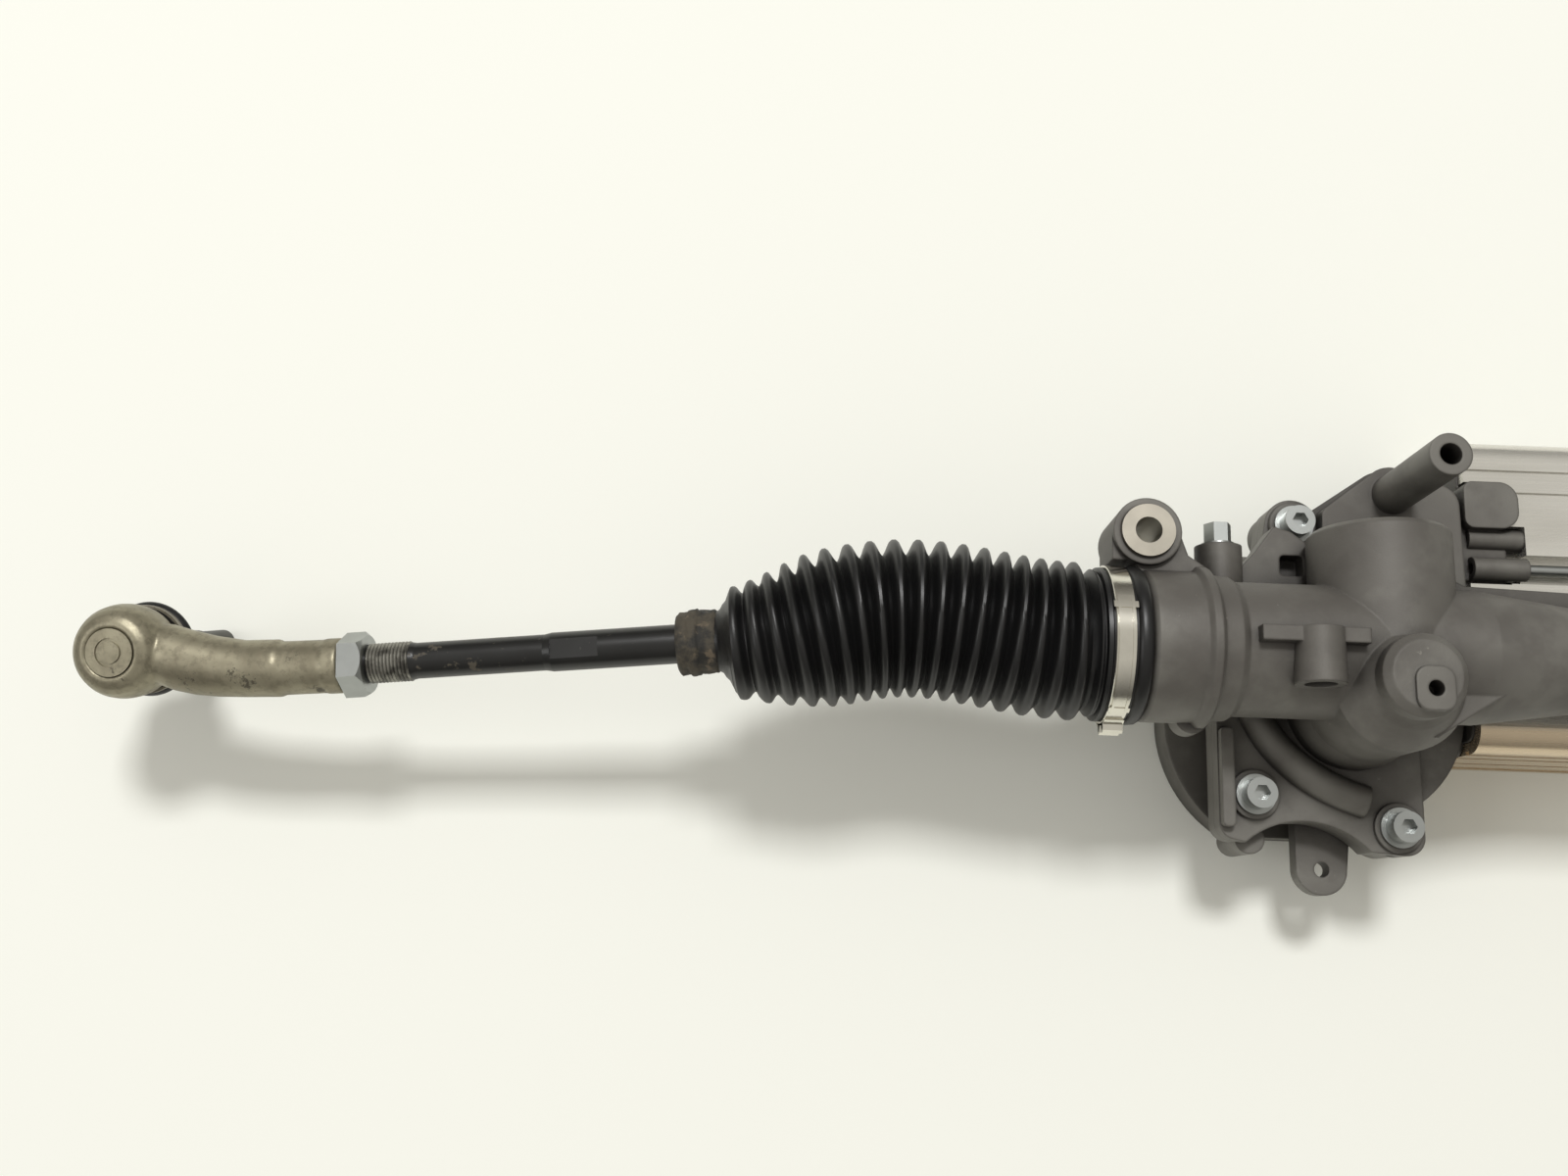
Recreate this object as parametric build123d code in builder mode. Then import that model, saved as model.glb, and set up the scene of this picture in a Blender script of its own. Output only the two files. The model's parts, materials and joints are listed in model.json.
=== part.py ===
from build123d import *

import os
from math import acos, asin, atan2, cos, degrees, pi, radians, sin, sqrt, tan

os.makedirs("parts", exist_ok=True)

# An electric power steering rack with two pinions, in millimetres.
# X runs along the rack, Z is up and the steering input shaft points up.
# The origin is the top of the sleeve in the left mounting eye.

# Where the rack lies, counted from the left mounting eye
eye_to_drive = 98.0  # from the eye to the drive pinion, along the rack
eye_to_rack = 46.0  # from the eye to the rack axis, across it
sleeve_top = 12.0  # top of the mounting sleeves above the rack axis

# Rack and pinions, meshing at the same pitch
rack_radius = 12.0
gear_module = 2.0
pinion_teeth = 8
pressure_angle = radians(20)
profile_shift = 0.53
pinion_tip_radius = 10.5
pinion_offset = 14.7  # pinion axes beside the rack axis
pinion_face = 13.0  # half of a pinion's toothed length
gear_backlash = 0.15  # taken off each flank of a pinion
rack_travel = 60.0  # each way
running_gap = 0.05  # radial gap of a shaft in its bearing or bush
joint_gap = 0.3  # gap between pieces that move past each other

# Worm gear
worm_module = 2.0
worm_starts = 2
wheel_teeth = 42
worm_pitch_radius = 9.75
worm_backlash = 0.22  # taken off each flank of the worm
worm_length = 46.0
worm_z = -64.0  # worm axis below the rack axis
wheel_width = 20.0
wheel_bore = 9.0

# Rack housing
neck_left = -101.0  # shoulder of the left neck
neck_radius = 31.0
seat_radius = 28.5  # where the bellows sits
seat_length = 19.0
barrel_radius = 27.5
tube_radius = 21.0  # between the two pinions
rack_bore = 13.5
neck_bore = 22.0
bush_length = 20.0
tower_radius = 28.5  # yoke towers
tower_end = 51.0
yoke_radius = 19.0
boss_radius = 24.0  # input pinion tower
drive_tower_radius = 26.5
cap_radius = 16.5
cap_top = 40.0
flange_bottom = -45.0
flange_thickness = 9.0
eye_radius = 14.0
arm_width = 17.0
eye_bottom = -20.0
sleeve_radius = 11.0
sleeve_bore = 5.5
post_x = 19.0
post_y = 77.0
post_radius = 8.75
post_bore = 4.5
post_top = 30.0

# Screws that join the rack housing to the gearbox housing, as seen from above
screw_points = [(-43, -55), (17.5, -67), (-22, 64)]
screw_radius = 4.0
screw_head_radius = 6.5
screw_head_height = 8.0
washer_radius = 8.5
washer_thickness = 1.6
screw_boss_radius = 13.0
deck_top = -28.0  # raised deck of the flange, beside the post
flange_left = -58.0
flange_right = 29.0
flange_low = -79.0
seam_x = 50.0  # end of the flange beside the motor

# Gearbox housing
pot_radius = 50.5
pot_bottom = -98.0
pot_cavity = 46.5
dish_centre = (-9.0, -18.0)  # wide lower part of the pot
dish_radius = 60.5
dish_top = -80.0
tunnel_radius = 21.0
tunnel_bore = 14.0
tunnel_end = -54.0
motor_face = 70.0  # where the motor stands against the gearbox

# Motor and its control unit
motor_length = 152.0
end_cover_length = 18.0
motor_side_low = -34.0
motor_side_high = 106.0
motor_middle = (motor_side_low + motor_side_high) / 2
motor_width = motor_side_high - motor_side_low
motor_height = 68.0
motor_corner = 11.0
stator_radius = 24.3
rotor_radius = 14.0
motor_bolt_radius = 2.5
motor_bolts = [(60, -35), (46, -31.5)]
motor_lug_radius = 5.0
skirt_start = 52.0  # the motor housing reaches over the gearbox from here
skirt_wall = 5.0
spigot_width = motor_width - 2 * (skirt_wall + joint_gap)
spigot_height = motor_height - 2 * (skirt_wall + joint_gap)
bolts_middle = (motor_bolts[0][0] + motor_bolts[1][0]) / 2
bolts_apart = motor_bolts[0][0] - motor_bolts[1][0]
lug_start = 53.0
lug_end = 77.0

# Input side of the rack housing, which clears the end of the motor
input_x = motor_face + motor_length + end_cover_length + 22  # input pinion
neck_right = input_x + 75  # shoulder of the right neck

# Bearings
needle_radius = 10.0
ball_bearing_radius = 21.0
bearing_width = 12.0

# Inner joints
inner_ball_x = -228.0  # centre of the left inner ball
inner_ball_radius = 14.0
inner_liner_radius = 16.2
inner_socket_radius = 19.5
socket_mouth = 8.0  # from the middle of either ball to the mouth of its socket
tie_neck = 6.5

# Tie rods, as they lie at rest
tie_yaw = 4.9
tie_droop = 5.1
tie_radius = 8.1
tie_thin_radius = 7.5
thread_radius = 7.85
tie_flat_start = 93.0
tie_flat_end = 113.0
thread_start = 172.0
thread_end = 226.0
nut_start = 190.5
nut_thickness = 10.0
nut_across_flats = 24.0

# Tie rod ends and outer joints
outer_ball_reach = 294.5
outer_ball_crank = 12.0
end_turn = 13.0  # how far an end is turned about its tie rod
end_radius = 20.0
end_top = 15.5
end_bottom = -12.0
shank_radius = 12.0
outer_ball_radius = 12.5
outer_liner_radius = 15.0
spigot_radius = 16.0
spigot_bottom = -17.0
stud_tilt = 6.0
stud_neck = 6.0
stud_collar = 8.0
stud_collar_top = -26.0
stud_thread = 6.0
stud_length = 75.0
stud_thread_length = 22.0

# Bellows
bellows_wall = 2.2
bellows_radius = 33.0
cuff_start = 42.0  # small cuff, outwards from the inner ball
cuff_end = 60.0
clamp_width = 8.0
clamp_thickness = 1.0

# Reference planes and axes through the rack axis at the drive pinion
datum = (eye_to_drive, -eye_to_rack, -sleeve_top)
plan = Plane(origin=datum)
across = Plane(origin=datum, x_dir=(0, 1, 0), z_dir=(1, 0, 0))
side = Plane(origin=datum, x_dir=(1, 0, 0), z_dir=(0, -1, 0))
rack_axis = Axis(datum, (1, 0, 0))
rack_middle = (neck_left + neck_right) / 2
pitch_radius = gear_module * pinion_teeth / 2


def at(x, y, z=0):
    """A point given from the drive pinion and the rack axis."""
    return (datum[0] + x, datum[1] + y, datum[2] + z)


def turned(profile_plane, points, axis):
    """Add a solid of revolution, from (along, radius) points beside its axis."""
    with BuildSketch(profile_plane) as profile:
        with BuildLine():
            Polyline(*points, close=True)
        make_face()
    revolve(profile.sketch, axis=axis)


def half_disc(profile_plane, radius):
    """Half of a ball's section; the plane's X is the axis it is turned about."""
    with BuildSketch(profile_plane) as drawn:
        with BuildLine():
            ThreePointArc((-radius, 0), (0, radius), (radius, 0))
            Line((radius, 0), (-radius, 0))
        make_face()
    return drawn.sketch


def shell_section(profile_plane, inner, outer, low, high):
    """The section of a ball's liner between two places on its axis, the plane's X."""
    with BuildSketch(profile_plane) as drawn:
        with BuildLine():
            back = ThreePointArc((low, sqrt(inner**2 - low**2)), (0, inner), (high, sqrt(inner**2 - high**2)))
            face = ThreePointArc((low, sqrt(outer**2 - low**2)), (0, outer), (high, sqrt(outer**2 - high**2)))
            Line(back @ 0, face @ 0)
            Line(back @ 1, face @ 1)
        make_face()
    return drawn.sketch


def upright_plane(x, y):
    """A plane through a vertical axis: its x is the radius and its y is the height."""
    return Plane(origin=at(x, y), x_dir=(1, 0, 0), z_dir=(0, -1, 0))


def stepped(x, y, steps):
    """Add a stack of vertical cylinders (radius, bottom, top) on one axis."""
    for radius, bottom, top in steps:
        with BuildSketch(plan.offset(bottom)) as disc:
            with Locations((x, y)):
                Circle(radius)
        extrude(disc.sketch, amount=top - bottom)


def bored(x, y, steps):
    """Cut a stack of vertical bores (radius, bottom, top) on one axis."""
    for radius, bottom, top in steps:
        with BuildSketch(plan.offset(bottom)) as disc:
            with Locations((x, y)):
                Circle(radius)
        extrude(disc.sketch, amount=top - bottom, mode=Mode.SUBTRACT)


def tooth(teeth, module, shift, tip, thinning):
    """One involute tooth along +X, drawn down to the centre of its gear."""
    pitch = module * teeth / 2
    base = pitch * cos(pressure_angle)

    def half_angle(radius):
        slope = acos(min(1, base / radius))
        opened = tan(slope) - slope - tan(pressure_angle) + pressure_angle
        return (pi / 2 + 2 * shift * tan(pressure_angle)) / teeth - thinning / pitch - opened

    radii = [base + (tip - base) * step / 3 for step in range(4)]
    flank = [(radius * cos(half_angle(radius)), radius * sin(half_angle(radius))) for radius in radii]
    with BuildSketch() as drawn:
        with BuildLine():
            left = Spline(*flank)
            right = Spline(*[(x, -y) for x, y in flank])
            Line(left @ 1, right @ 1)
            Polyline(left @ 0, (0, 0), right @ 0)
        make_face()
    return drawn.sketch


def gear_face(teeth, root, one_tooth, first_angle):
    """The face of a gear, with the middle of one tooth at first_angle."""
    with BuildSketch() as drawn:
        Circle(root)
        with PolarLocations(0, teeth, start_angle=first_angle):
            add(one_tooth)
    return drawn.sketch


# Pinion proportions, and where the teeth of the rack bar lie
pinion_root = pitch_radius + gear_module * (profile_shift - 1.25)
rack_line = pinion_offset - pitch_radius - profile_shift * gear_module
rack_tooth_tip = rack_line + gear_module
rack_tooth_root = rack_line - 1.25 * gear_module
rack_pitch = pi * gear_module
rack_gaps = 2 * round((rack_travel + pinion_tip_radius) / rack_pitch) + 1
pinion_tooth = tooth(pinion_teeth, gear_module, profile_shift, pinion_tip_radius, gear_backlash)
pinion_face_outline = gear_face(pinion_teeth, pinion_root, pinion_tooth, 90)

# Shared places along the rack
seat_left = neck_left - seat_length
seat_right = neck_right + seat_length
rack_left = inner_ball_x + inner_socket_radius + 2.5
rack_right = 2 * rack_middle - rack_left
bush_left = neck_left + 49
bush_right = neck_right - 17
bush_radius = rack_radius + 4
shaft_radius = 10.0
shaft_tip_radius = 6.2
wheel_radius = worm_module * wheel_teeth / 2
worm_y = wheel_radius + worm_pitch_radius - pinion_offset
flange_top = flange_bottom + flange_thickness
left_eye = (-eye_to_drive, eye_to_rack)
right_eye = (2 * rack_middle + eye_to_drive, eye_to_rack)
lower_eye = (input_x + 44, -52)
eyes = [left_eye, right_eye, lower_eye]
arm_outline = [
    (left_eye[0] - eye_radius, left_eye[1]),
    (left_eye[0] - eye_radius, neck_radius + 3.5),
    (neck_left - 2, neck_radius + 3),
    (neck_left + 0.5, neck_radius - 2),
    (neck_left + 1, 5),
    (-76, 5),
    (-72, neck_radius),
    (left_eye[0] + eye_radius + 3, left_eye[1] - 9),
    (left_eye[0] + eye_radius, left_eye[1]),
]


def flange_outline():
    """The outline that the rack housing and the gearbox housing share where they meet."""
    with BuildSketch() as beside_tower:
        with Locations(screw_points[2]):
            Circle(screw_boss_radius - 1)
        with Locations((-36, 10), (10, 40)):
            Circle(8)
        make_hull()
    with BuildSketch() as beside_post:
        with Locations((post_x, post_y)):
            Circle(post_radius + 5)
        with Locations((-9, 67)):
            Circle(6)
        with Locations((seam_x - 11, 73)):
            Circle(11)
        with Locations((seam_x - 8, 10), (-10, 20)):
            Circle(8)
        make_hull()
    with BuildSketch() as drawn:
        with BuildLine():
            notch = ThreePointArc((-47, flange_low + 4), (-20, flange_low + 13.5), (6, flange_low + 1.5))
            left_edge = [notch @ 0, (flange_left, flange_low + 6), (flange_left, 0)]
            Polyline(*left_edge, (flange_right, 0), (flange_right, flange_low), notch @ 1)
        make_face()
        fillet(drawn.vertices().group_by(Axis.Y)[0], radius=8)
        fillet(drawn.vertices().group_by(Axis.X)[0].sort_by(Axis.Y)[0], radius=7)
        add(beside_tower.sketch)
        add(beside_post.sketch)
    return drawn.sketch


flange_face = flange_outline()

# Rack housing: one casting from neck to neck
with BuildPart() as rack_housing:
    barrel = [
        (seat_left, 0),
        (seat_left, seat_radius),
        (neck_left, seat_radius),
        (neck_left, neck_radius - 1.5),
        (neck_left + 2, neck_radius),
        (-80, neck_radius),
        (-78, neck_radius + 2),
        (-75, neck_radius + 2),
        (-73, neck_radius - 1),
        (-66, neck_radius - 1.5),
        (-63, barrel_radius),
        (35, barrel_radius),
        (80, tube_radius),
        (input_x - 60, tube_radius),
        (input_x - 34, barrel_radius),
        (input_x + 34, barrel_radius),
        (neck_right - 28, neck_radius - 1),
        (neck_right - 26, neck_radius + 2),
        (neck_right - 23, neck_radius + 2),
        (neck_right - 21, neck_radius),
        (neck_right - 2, neck_radius),
        (neck_right, neck_radius - 1.5),
        (neck_right, seat_radius),
        (seat_right, seat_radius),
        (seat_right, 0),
    ]
    turned(side, barrel, rack_axis)
    # Yoke towers, behind the rack at each pinion
    for x in (0, input_x):
        tower = [(0, 0), (tower_radius, 0), (tower_radius, tower_end - 2), (tower_radius - 2, tower_end), (0, tower_end)]
        turned(Plane(origin=at(x, 0)), tower, Axis(at(x, 0), (0, 1, 0)))
    # Drive pinion tower, widening into the gearbox flange
    drive_tower = [
        (0, flange_bottom),
        (drive_tower_radius + 2, flange_bottom),
        (drive_tower_radius + 2, flange_top + 4),
        (drive_tower_radius, -20),
        (drive_tower_radius, 14),
        (boss_radius - 2, 22),
        (cap_radius + 3, 26),
        (cap_radius, 30),
        (cap_radius, cap_top - 3),
        (cap_radius - 3, cap_top),
        (0, cap_top),
    ]
    turned(upright_plane(0, -pinion_offset), drive_tower, Axis(at(0, -pinion_offset), (0, 0, 1)))
    # Flange on the gearbox, with a round cover for the pot and a raised pad at each screw
    with BuildSketch(plan.offset(flange_bottom)):
        add(flange_face)
    extrude(amount=flange_thickness - 2)
    stepped(0, -pinion_offset, [(pot_radius, flange_bottom, flange_bottom + 4)])
    with BuildSketch(plan.offset(flange_bottom)):
        with Locations(*screw_points):
            Circle(screw_boss_radius - 2.5)
    extrude(amount=flange_thickness)
    # Raised strip, deck and swept rib on the flange
    with BuildSketch(plan.offset(flange_bottom)):
        with Locations((flange_left + 3.2, -48)):
            RectangleRounded(5.4, 42, 2)
    extrude(amount=flange_thickness + 2.5)
    with BuildSketch(plan.offset(flange_bottom)):
        with Locations((post_x, post_y)):
            Circle(post_radius + 4)
        with Locations((-7, 66.5)):
            Circle(5)
        with Locations((seam_x - 11, 73)):
            Circle(9.5)
        with Locations((seam_x - 9, 25), (-5, 30)):
            Circle(8)
        make_hull()
    extrude(amount=deck_top - flange_bottom)
    with BuildLine(plan.offset(flange_top - 1)) as rib_line:
        Spline((-42, -20), (-31, -37), (-14, -49.5), (4, -56.5))
    with BuildSketch(Plane(origin=rib_line.line @ 0, z_dir=rib_line.line % 0)):
        Circle(7)
    sweep()
    # Post beside the motor
    stepped(post_x, post_y, [(post_radius, flange_bottom, post_top)])
    # Input pinion tower, closed below and open for the torque sensor above
    input_tower = [
        (0, -36),
        (17, -36),
        (20, -33),
        (boss_radius, -12),
        (boss_radius + 1, 36),
        (boss_radius + 6, 40),
        (boss_radius + 6, 45),
        (0, 45),
    ]
    turned(upright_plane(input_x, -pinion_offset), input_tower, Axis(at(input_x, -pinion_offset), (0, 0, 1)))
    # Mounting eyes and the arms that carry them
    for eye_x, eye_y in eyes:
        stepped(eye_x, eye_y, [(eye_radius, eye_bottom, sleeve_top - 2)])
    with BuildSketch(plan.offset(eye_bottom + 3)) as arms:
        Polygon(*arm_outline, align=None)
        mirror(about=Plane.YZ.offset(rack_middle))
        with Locations((lower_eye[0], lower_eye[1] / 2)):
            Rectangle(arm_width, -lower_eye[1])
    extrude(amount=sleeve_top - eye_bottom - 8)
    # Web from the left eye past the side screw to the flange, with a pocket beside the tower
    with BuildSketch(plan.offset(-28)):
        lower_corners = [(-84, 15), (-80, 37), (-73, 34), (-53, 38)]
        Polygon(*lower_corners, (-46, 46), (-38, 57), (-31, 55), (-24, 50), (-24, 15), align=None)
    extrude(amount=13)
    with BuildSketch(plan.offset(-24)):
        with Locations((-31, 40)):
            RectangleRounded(10, 9, 2)
    extrude(amount=9, mode=Mode.SUBTRACT)
    # Small boss under the left neck
    stepped(-79, -28, [(7, -12, -1)])
    # Clip bracket on top of the barrel: a rib with a cross tube
    with BuildSketch(plan.offset(barrel_radius - 8)):
        with Locations((-39, 1)):
            Rectangle(42, 6)
    extrude(amount=13.5)
    with BuildSketch(side.offset(-4)):
        with Locations((-36.5, barrel_radius)):
            Circle(9.8)
    extrude(amount=22)
    # Boss of the side screw
    with BuildSketch(side.offset(-46)):
        with Locations((-63, -12)):
            Circle(9.75)
    extrude(amount=30)
    # Pad with a tapped hole on the pinion tower
    with BuildSketch(plan.offset(cap_top - 6)):
        with Locations((2, -pinion_offset - 5.5)):
            RectangleRounded(15, 17, 5)
    extrude(amount=7.5)
    # Gusset between the pinion tower and the tube, and the ledge behind the tube
    with BuildSketch(plan.offset(-12)):
        Polygon((0, -36), (11, -36), (27, -25.6), (64, -2.7), (66, 8), (0, 8), align=None)
    extrude(amount=32)
    with BuildSketch(plan.offset(-16)):
        Polygon((20, 37), (31, 35), (38, 31.5), (104, 29.5), (116, 8), (20, 8), align=None)
    extrude(amount=10)

    # Bores along the rack
    with BuildSketch(across.offset(seat_left)):
        Circle(rack_bore)
    extrude(amount=seat_right - seat_left, mode=Mode.SUBTRACT)
    with BuildSketch(across.offset(bush_left)):
        Circle(bush_radius)
    extrude(amount=bush_length, mode=Mode.SUBTRACT)
    with BuildSketch(across.offset(bush_right - bush_length)):
        Circle(bush_radius)
    extrude(amount=bush_length, mode=Mode.SUBTRACT)
    with BuildSketch(across.offset(seat_left)):
        Circle(neck_bore)
    extrude(amount=bush_left - seat_left, mode=Mode.SUBTRACT)
    with BuildSketch(across.offset(bush_right)):
        Circle(neck_bore)
    extrude(amount=seat_right - bush_right, mode=Mode.SUBTRACT)
    # Bores of the yokes
    with BuildSketch(side.offset(-tower_end)):
        with Locations((0, 0), (input_x, 0)):
            Circle(yoke_radius)
    extrude(amount=tower_end, mode=Mode.SUBTRACT)
    # Bores of the pinions and their bearings
    drive_bores = [
        (ball_bearing_radius, flange_bottom, -32),
        (pinion_tip_radius + 1.5, -32, pinion_face + 1),
        (needle_radius, pinion_face + 1, 30),
    ]
    bored(0, -pinion_offset, drive_bores)
    input_bores = [
        (needle_radius, -29, -pinion_face - 1),
        (pinion_tip_radius + 1.5, -pinion_face - 1, 20),
        (ball_bearing_radius, 20, 45),
    ]
    bored(input_x, -pinion_offset, input_bores)
    # Holes for sleeves, screws, post, clip and pad
    for eye_x, eye_y in eyes:
        bored(eye_x, eye_y, [(sleeve_radius, eye_bottom, sleeve_top)])
    for screw_x, screw_y in screw_points:
        bored(screw_x, screw_y, [(screw_radius + 0.4, flange_bottom, flange_top)])
    bored(post_x, post_y, [(post_bore, flange_bottom, post_top)])
    bored(2, -pinion_offset - 5.5, [(3.1, cap_top - 8, cap_top + 2)])
    with BuildSketch(side.offset(-4)):
        with Locations((-36.5, barrel_radius)):
            Circle(6.2)
    extrude(amount=22, mode=Mode.SUBTRACT)
    with BuildSketch(side.offset(-46)):
        with Locations((-63, -12)):
            Circle(3)
    extrude(amount=14, mode=Mode.SUBTRACT)
rack_housing.part.label = "rack_housing"
export_step(rack_housing.part, "parts/rack_housing.step")

# Gearbox housing: the pot under the flange and the tunnel of the worm
with BuildPart() as gearbox_housing:
    stepped(0, -pinion_offset, [(pot_radius, pot_bottom, flange_bottom)])
    with BuildSketch(plan.offset(flange_bottom - flange_thickness)):
        add(flange_face)
    extrude(amount=flange_thickness)
    for screw_x, screw_y in screw_points:
        stepped(screw_x, screw_y, [(screw_boss_radius - 1.5, -64, flange_bottom)])
    # Wide dish round the foot of the pot, trimmed square beside the tab
    with BuildSketch(plan.offset(pot_bottom)):
        with Locations(dish_centre):
            Circle(dish_radius)
        with Locations((-27, -12)):
            RectangleRounded(96, 116, 8, mode=Mode.INTERSECT)
    extrude(amount=dish_top - pot_bottom)
    # Tunnel of the worm, the block beside the motor and the spigot that the motor fits over
    with BuildSketch(across.offset(tunnel_end)):
        with Locations((worm_y, worm_z)):
            Circle(tunnel_radius - 2.5)
    extrude(amount=motor_face - tunnel_end)
    with BuildSketch(across.offset(38)):
        with Locations(((motor_side_low + 84) / 2, -70)):
            RectangleRounded(84 - motor_side_low, 49, 8)
    extrude(amount=skirt_start - joint_gap - 38)
    with BuildSketch(across.offset(seam_x + 1)):
        with Locations((motor_middle, worm_z)):
            RectangleRounded(spigot_width, spigot_height, motor_corner - skirt_wall)
        with Locations((bolts_middle, worm_z + spigot_height / 2 - 2)):
            Rectangle(bolts_apart + 2 * motor_lug_radius, 8)
    extrude(amount=motor_face - seam_x - 1)
    with BuildSketch(across.offset(lug_start)):
        with Locations(*motor_bolts):
            Circle(motor_lug_radius)
    extrude(amount=lug_end - lug_start)
    # Rounded shoulder beside the post, which laps over the motor's top
    shoulder_width = motor_face - seam_x - joint_gap
    with BuildSketch(plan.offset(worm_z)):
        with Locations((seam_x + joint_gap + shoulder_width / 2, 74)):
            RectangleRounded(shoulder_width, 21, 4)
    extrude(amount=-worm_z - 27)
    with BuildSketch(plan.offset(worm_z + motor_height / 2)):
        with Locations((lug_end - 12, 74)):
            RectangleRounded(18, 21, 8)
    extrude(amount=3)
    # Tab and foot beside the flange
    with BuildSketch(plan.offset(-64)):
        with Locations((-9, -84.5)):
            Circle(11)
        with Locations((-8, -60)):
            Rectangle(24, 10)
        make_hull()
    extrude(amount=8)
    stepped(-43, -73, [(6.5, -72, flange_bottom - 1)])
    # Cavity of the worm wheel, its lower bearing and the worm
    gearbox_bores = [(pot_cavity, -77, flange_bottom), (11, -91, -77)]
    bored(0, -pinion_offset, gearbox_bores)
    with BuildSketch(across.offset(tunnel_end + 8)):
        with Locations((worm_y, worm_z)):
            Circle(tunnel_bore)
    extrude(amount=motor_face - tunnel_end - 8, mode=Mode.SUBTRACT)
    for screw_x, screw_y in screw_points:
        bored(screw_x, screw_y, [(screw_radius, -60, flange_bottom)])
    bored(-9, -84.5, [(3.25, -64, -56)])
    with BuildSketch(across.offset(lug_start)):
        with Locations(*motor_bolts):
            Circle(motor_bolt_radius)
    extrude(amount=lug_end - lug_start, mode=Mode.SUBTRACT)
gearbox_housing.part.label = "gearbox_housing"
export_step(gearbox_housing.part, "parts/gearbox_housing.step")

# Rack bar with one toothed stretch for each pinion
with BuildPart() as rack_bar:
    with BuildSketch(across.offset(rack_left)):
        Circle(rack_radius)
    extrude(amount=rack_right - rack_left)
    tip_half = rack_pitch / 4 - gear_module * tan(pressure_angle)
    root_half = rack_pitch / 4 - 1.25 * gear_module * tan(pressure_angle)
    for zone in (0, input_x):
        with BuildSketch(plan):
            with Locations((zone, -rack_radius)):
                Rectangle(rack_gaps * rack_pitch, 2 * (rack_radius - rack_tooth_tip))
        extrude(amount=rack_radius, both=True, mode=Mode.SUBTRACT)
        with BuildSketch(plan):
            with Locations((zone, 0)):
                with GridLocations(rack_pitch, 1, rack_gaps, 1):
                    Polygon(
                        (-root_half, -rack_tooth_root),
                        (tip_half - rack_pitch / 2, -rack_tooth_tip),
                        (rack_pitch / 2 - tip_half, -rack_tooth_tip),
                        (root_half, -rack_tooth_root),
                        align=None,
                    )
        extrude(amount=rack_radius, both=True, mode=Mode.SUBTRACT)
    for end in (rack_left, rack_right - 20):
        with BuildSketch(across.offset(end)):
            Circle(7)
        extrude(amount=20, mode=Mode.SUBTRACT)
    chamfer(rack_bar.edges().filter_by(GeomType.CIRCLE).group_by(Axis.X)[0], length=1)
    chamfer(rack_bar.edges().filter_by(GeomType.CIRCLE).group_by(Axis.X)[-1], length=1)
rack_bar.part.label = "rack_bar"
export_step(rack_bar.part, "parts/rack_bar.step")

# Bushes that carry the two ends of the rack bar
with BuildPart() as rack_bushes:
    for end in (bush_left, bush_right - bush_length):
        with BuildSketch(across.offset(end)):
            Circle(bush_radius)
            Circle(rack_radius + running_gap, mode=Mode.SUBTRACT)
        extrude(amount=bush_length)
rack_bushes.part.label = "rack_bushes"
export_step(rack_bushes.part, "parts/rack_bushes.step")

# Yokes: each presses the rack bar into its pinion
yoke_front = 4.0
yoke_back = 27.0
plug_front = 36.0
for name, x in (("drive", 0), ("input", input_x)):
    with BuildPart() as yoke:
        with BuildSketch(side.offset(-yoke_back)):
            with Locations((x, 0)):
                Circle(yoke_radius - running_gap)
        extrude(amount=yoke_back - yoke_front)
        with BuildSketch(across.offset(x - yoke_radius)):
            Circle(rack_radius + running_gap)
        extrude(amount=2 * yoke_radius, mode=Mode.SUBTRACT)
        with BuildSketch(side.offset(-yoke_back)):
            with Locations((x, 0)):
                Circle(9)
        extrude(amount=10, mode=Mode.SUBTRACT)
    yoke.part.label = f"{name}_yoke"
    export_step(yoke.part, f"parts/{name}_yoke.step")

    with BuildPart() as yoke_spring:
        spring_wire = 1.0
        spring_start = yoke_back - 10 + spring_wire
        spring_height = plug_front - spring_start - spring_wire
        with BuildLine() as coil:
            Helix(spring_height / 4, spring_height, 7, center=at(x, spring_start), direction=(0, 1, 0))
        with BuildSketch(Plane(origin=coil.line @ 0, z_dir=coil.line % 0)):
            RegularPolygon(spring_wire, 6)
        sweep(is_frenet=True)
    yoke_spring.part.label = f"{name}_yoke_spring"
    export_step(yoke_spring.part, f"parts/{name}_yoke_spring.step")

    with BuildPart() as yoke_plug:
        with BuildSketch(side.offset(-tower_end + 1)):
            with Locations((x, 0)):
                Circle(yoke_radius)
        extrude(amount=tower_end - 1 - plug_front)
        with BuildSketch(side.offset(-tower_end + 1)):
            with Locations((x, 0)):
                RegularPolygon(11, 6)
        extrude(amount=8, mode=Mode.SUBTRACT)
    yoke_plug.part.label = f"{name}_yoke_plug"
    export_step(yoke_plug.part, f"parts/{name}_yoke_plug.step")

# Drive pinion, with the seat of the worm wheel at its lower end
wheel_low = worm_z - wheel_width / 2
wheel_high = worm_z + wheel_width / 2
with BuildPart() as drive_pinion:
    shaft_steps = [
        (shaft_tip_radius, -pinion_face, 28),
        (shaft_radius, wheel_high + 2, -pinion_face),
        (wheel_bore, wheel_low - 2, wheel_high + 2),
        (shaft_tip_radius, -90, wheel_low - 2),
    ]
    stepped(0, -pinion_offset, shaft_steps)
    with BuildSketch(plan.offset(-pinion_face)):
        with Locations((0, -pinion_offset)):
            add(pinion_face_outline)
    extrude(amount=2 * pinion_face)
drive_pinion.part.label = "drive_pinion"
export_step(drive_pinion.part, "parts/drive_pinion.step")

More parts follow.
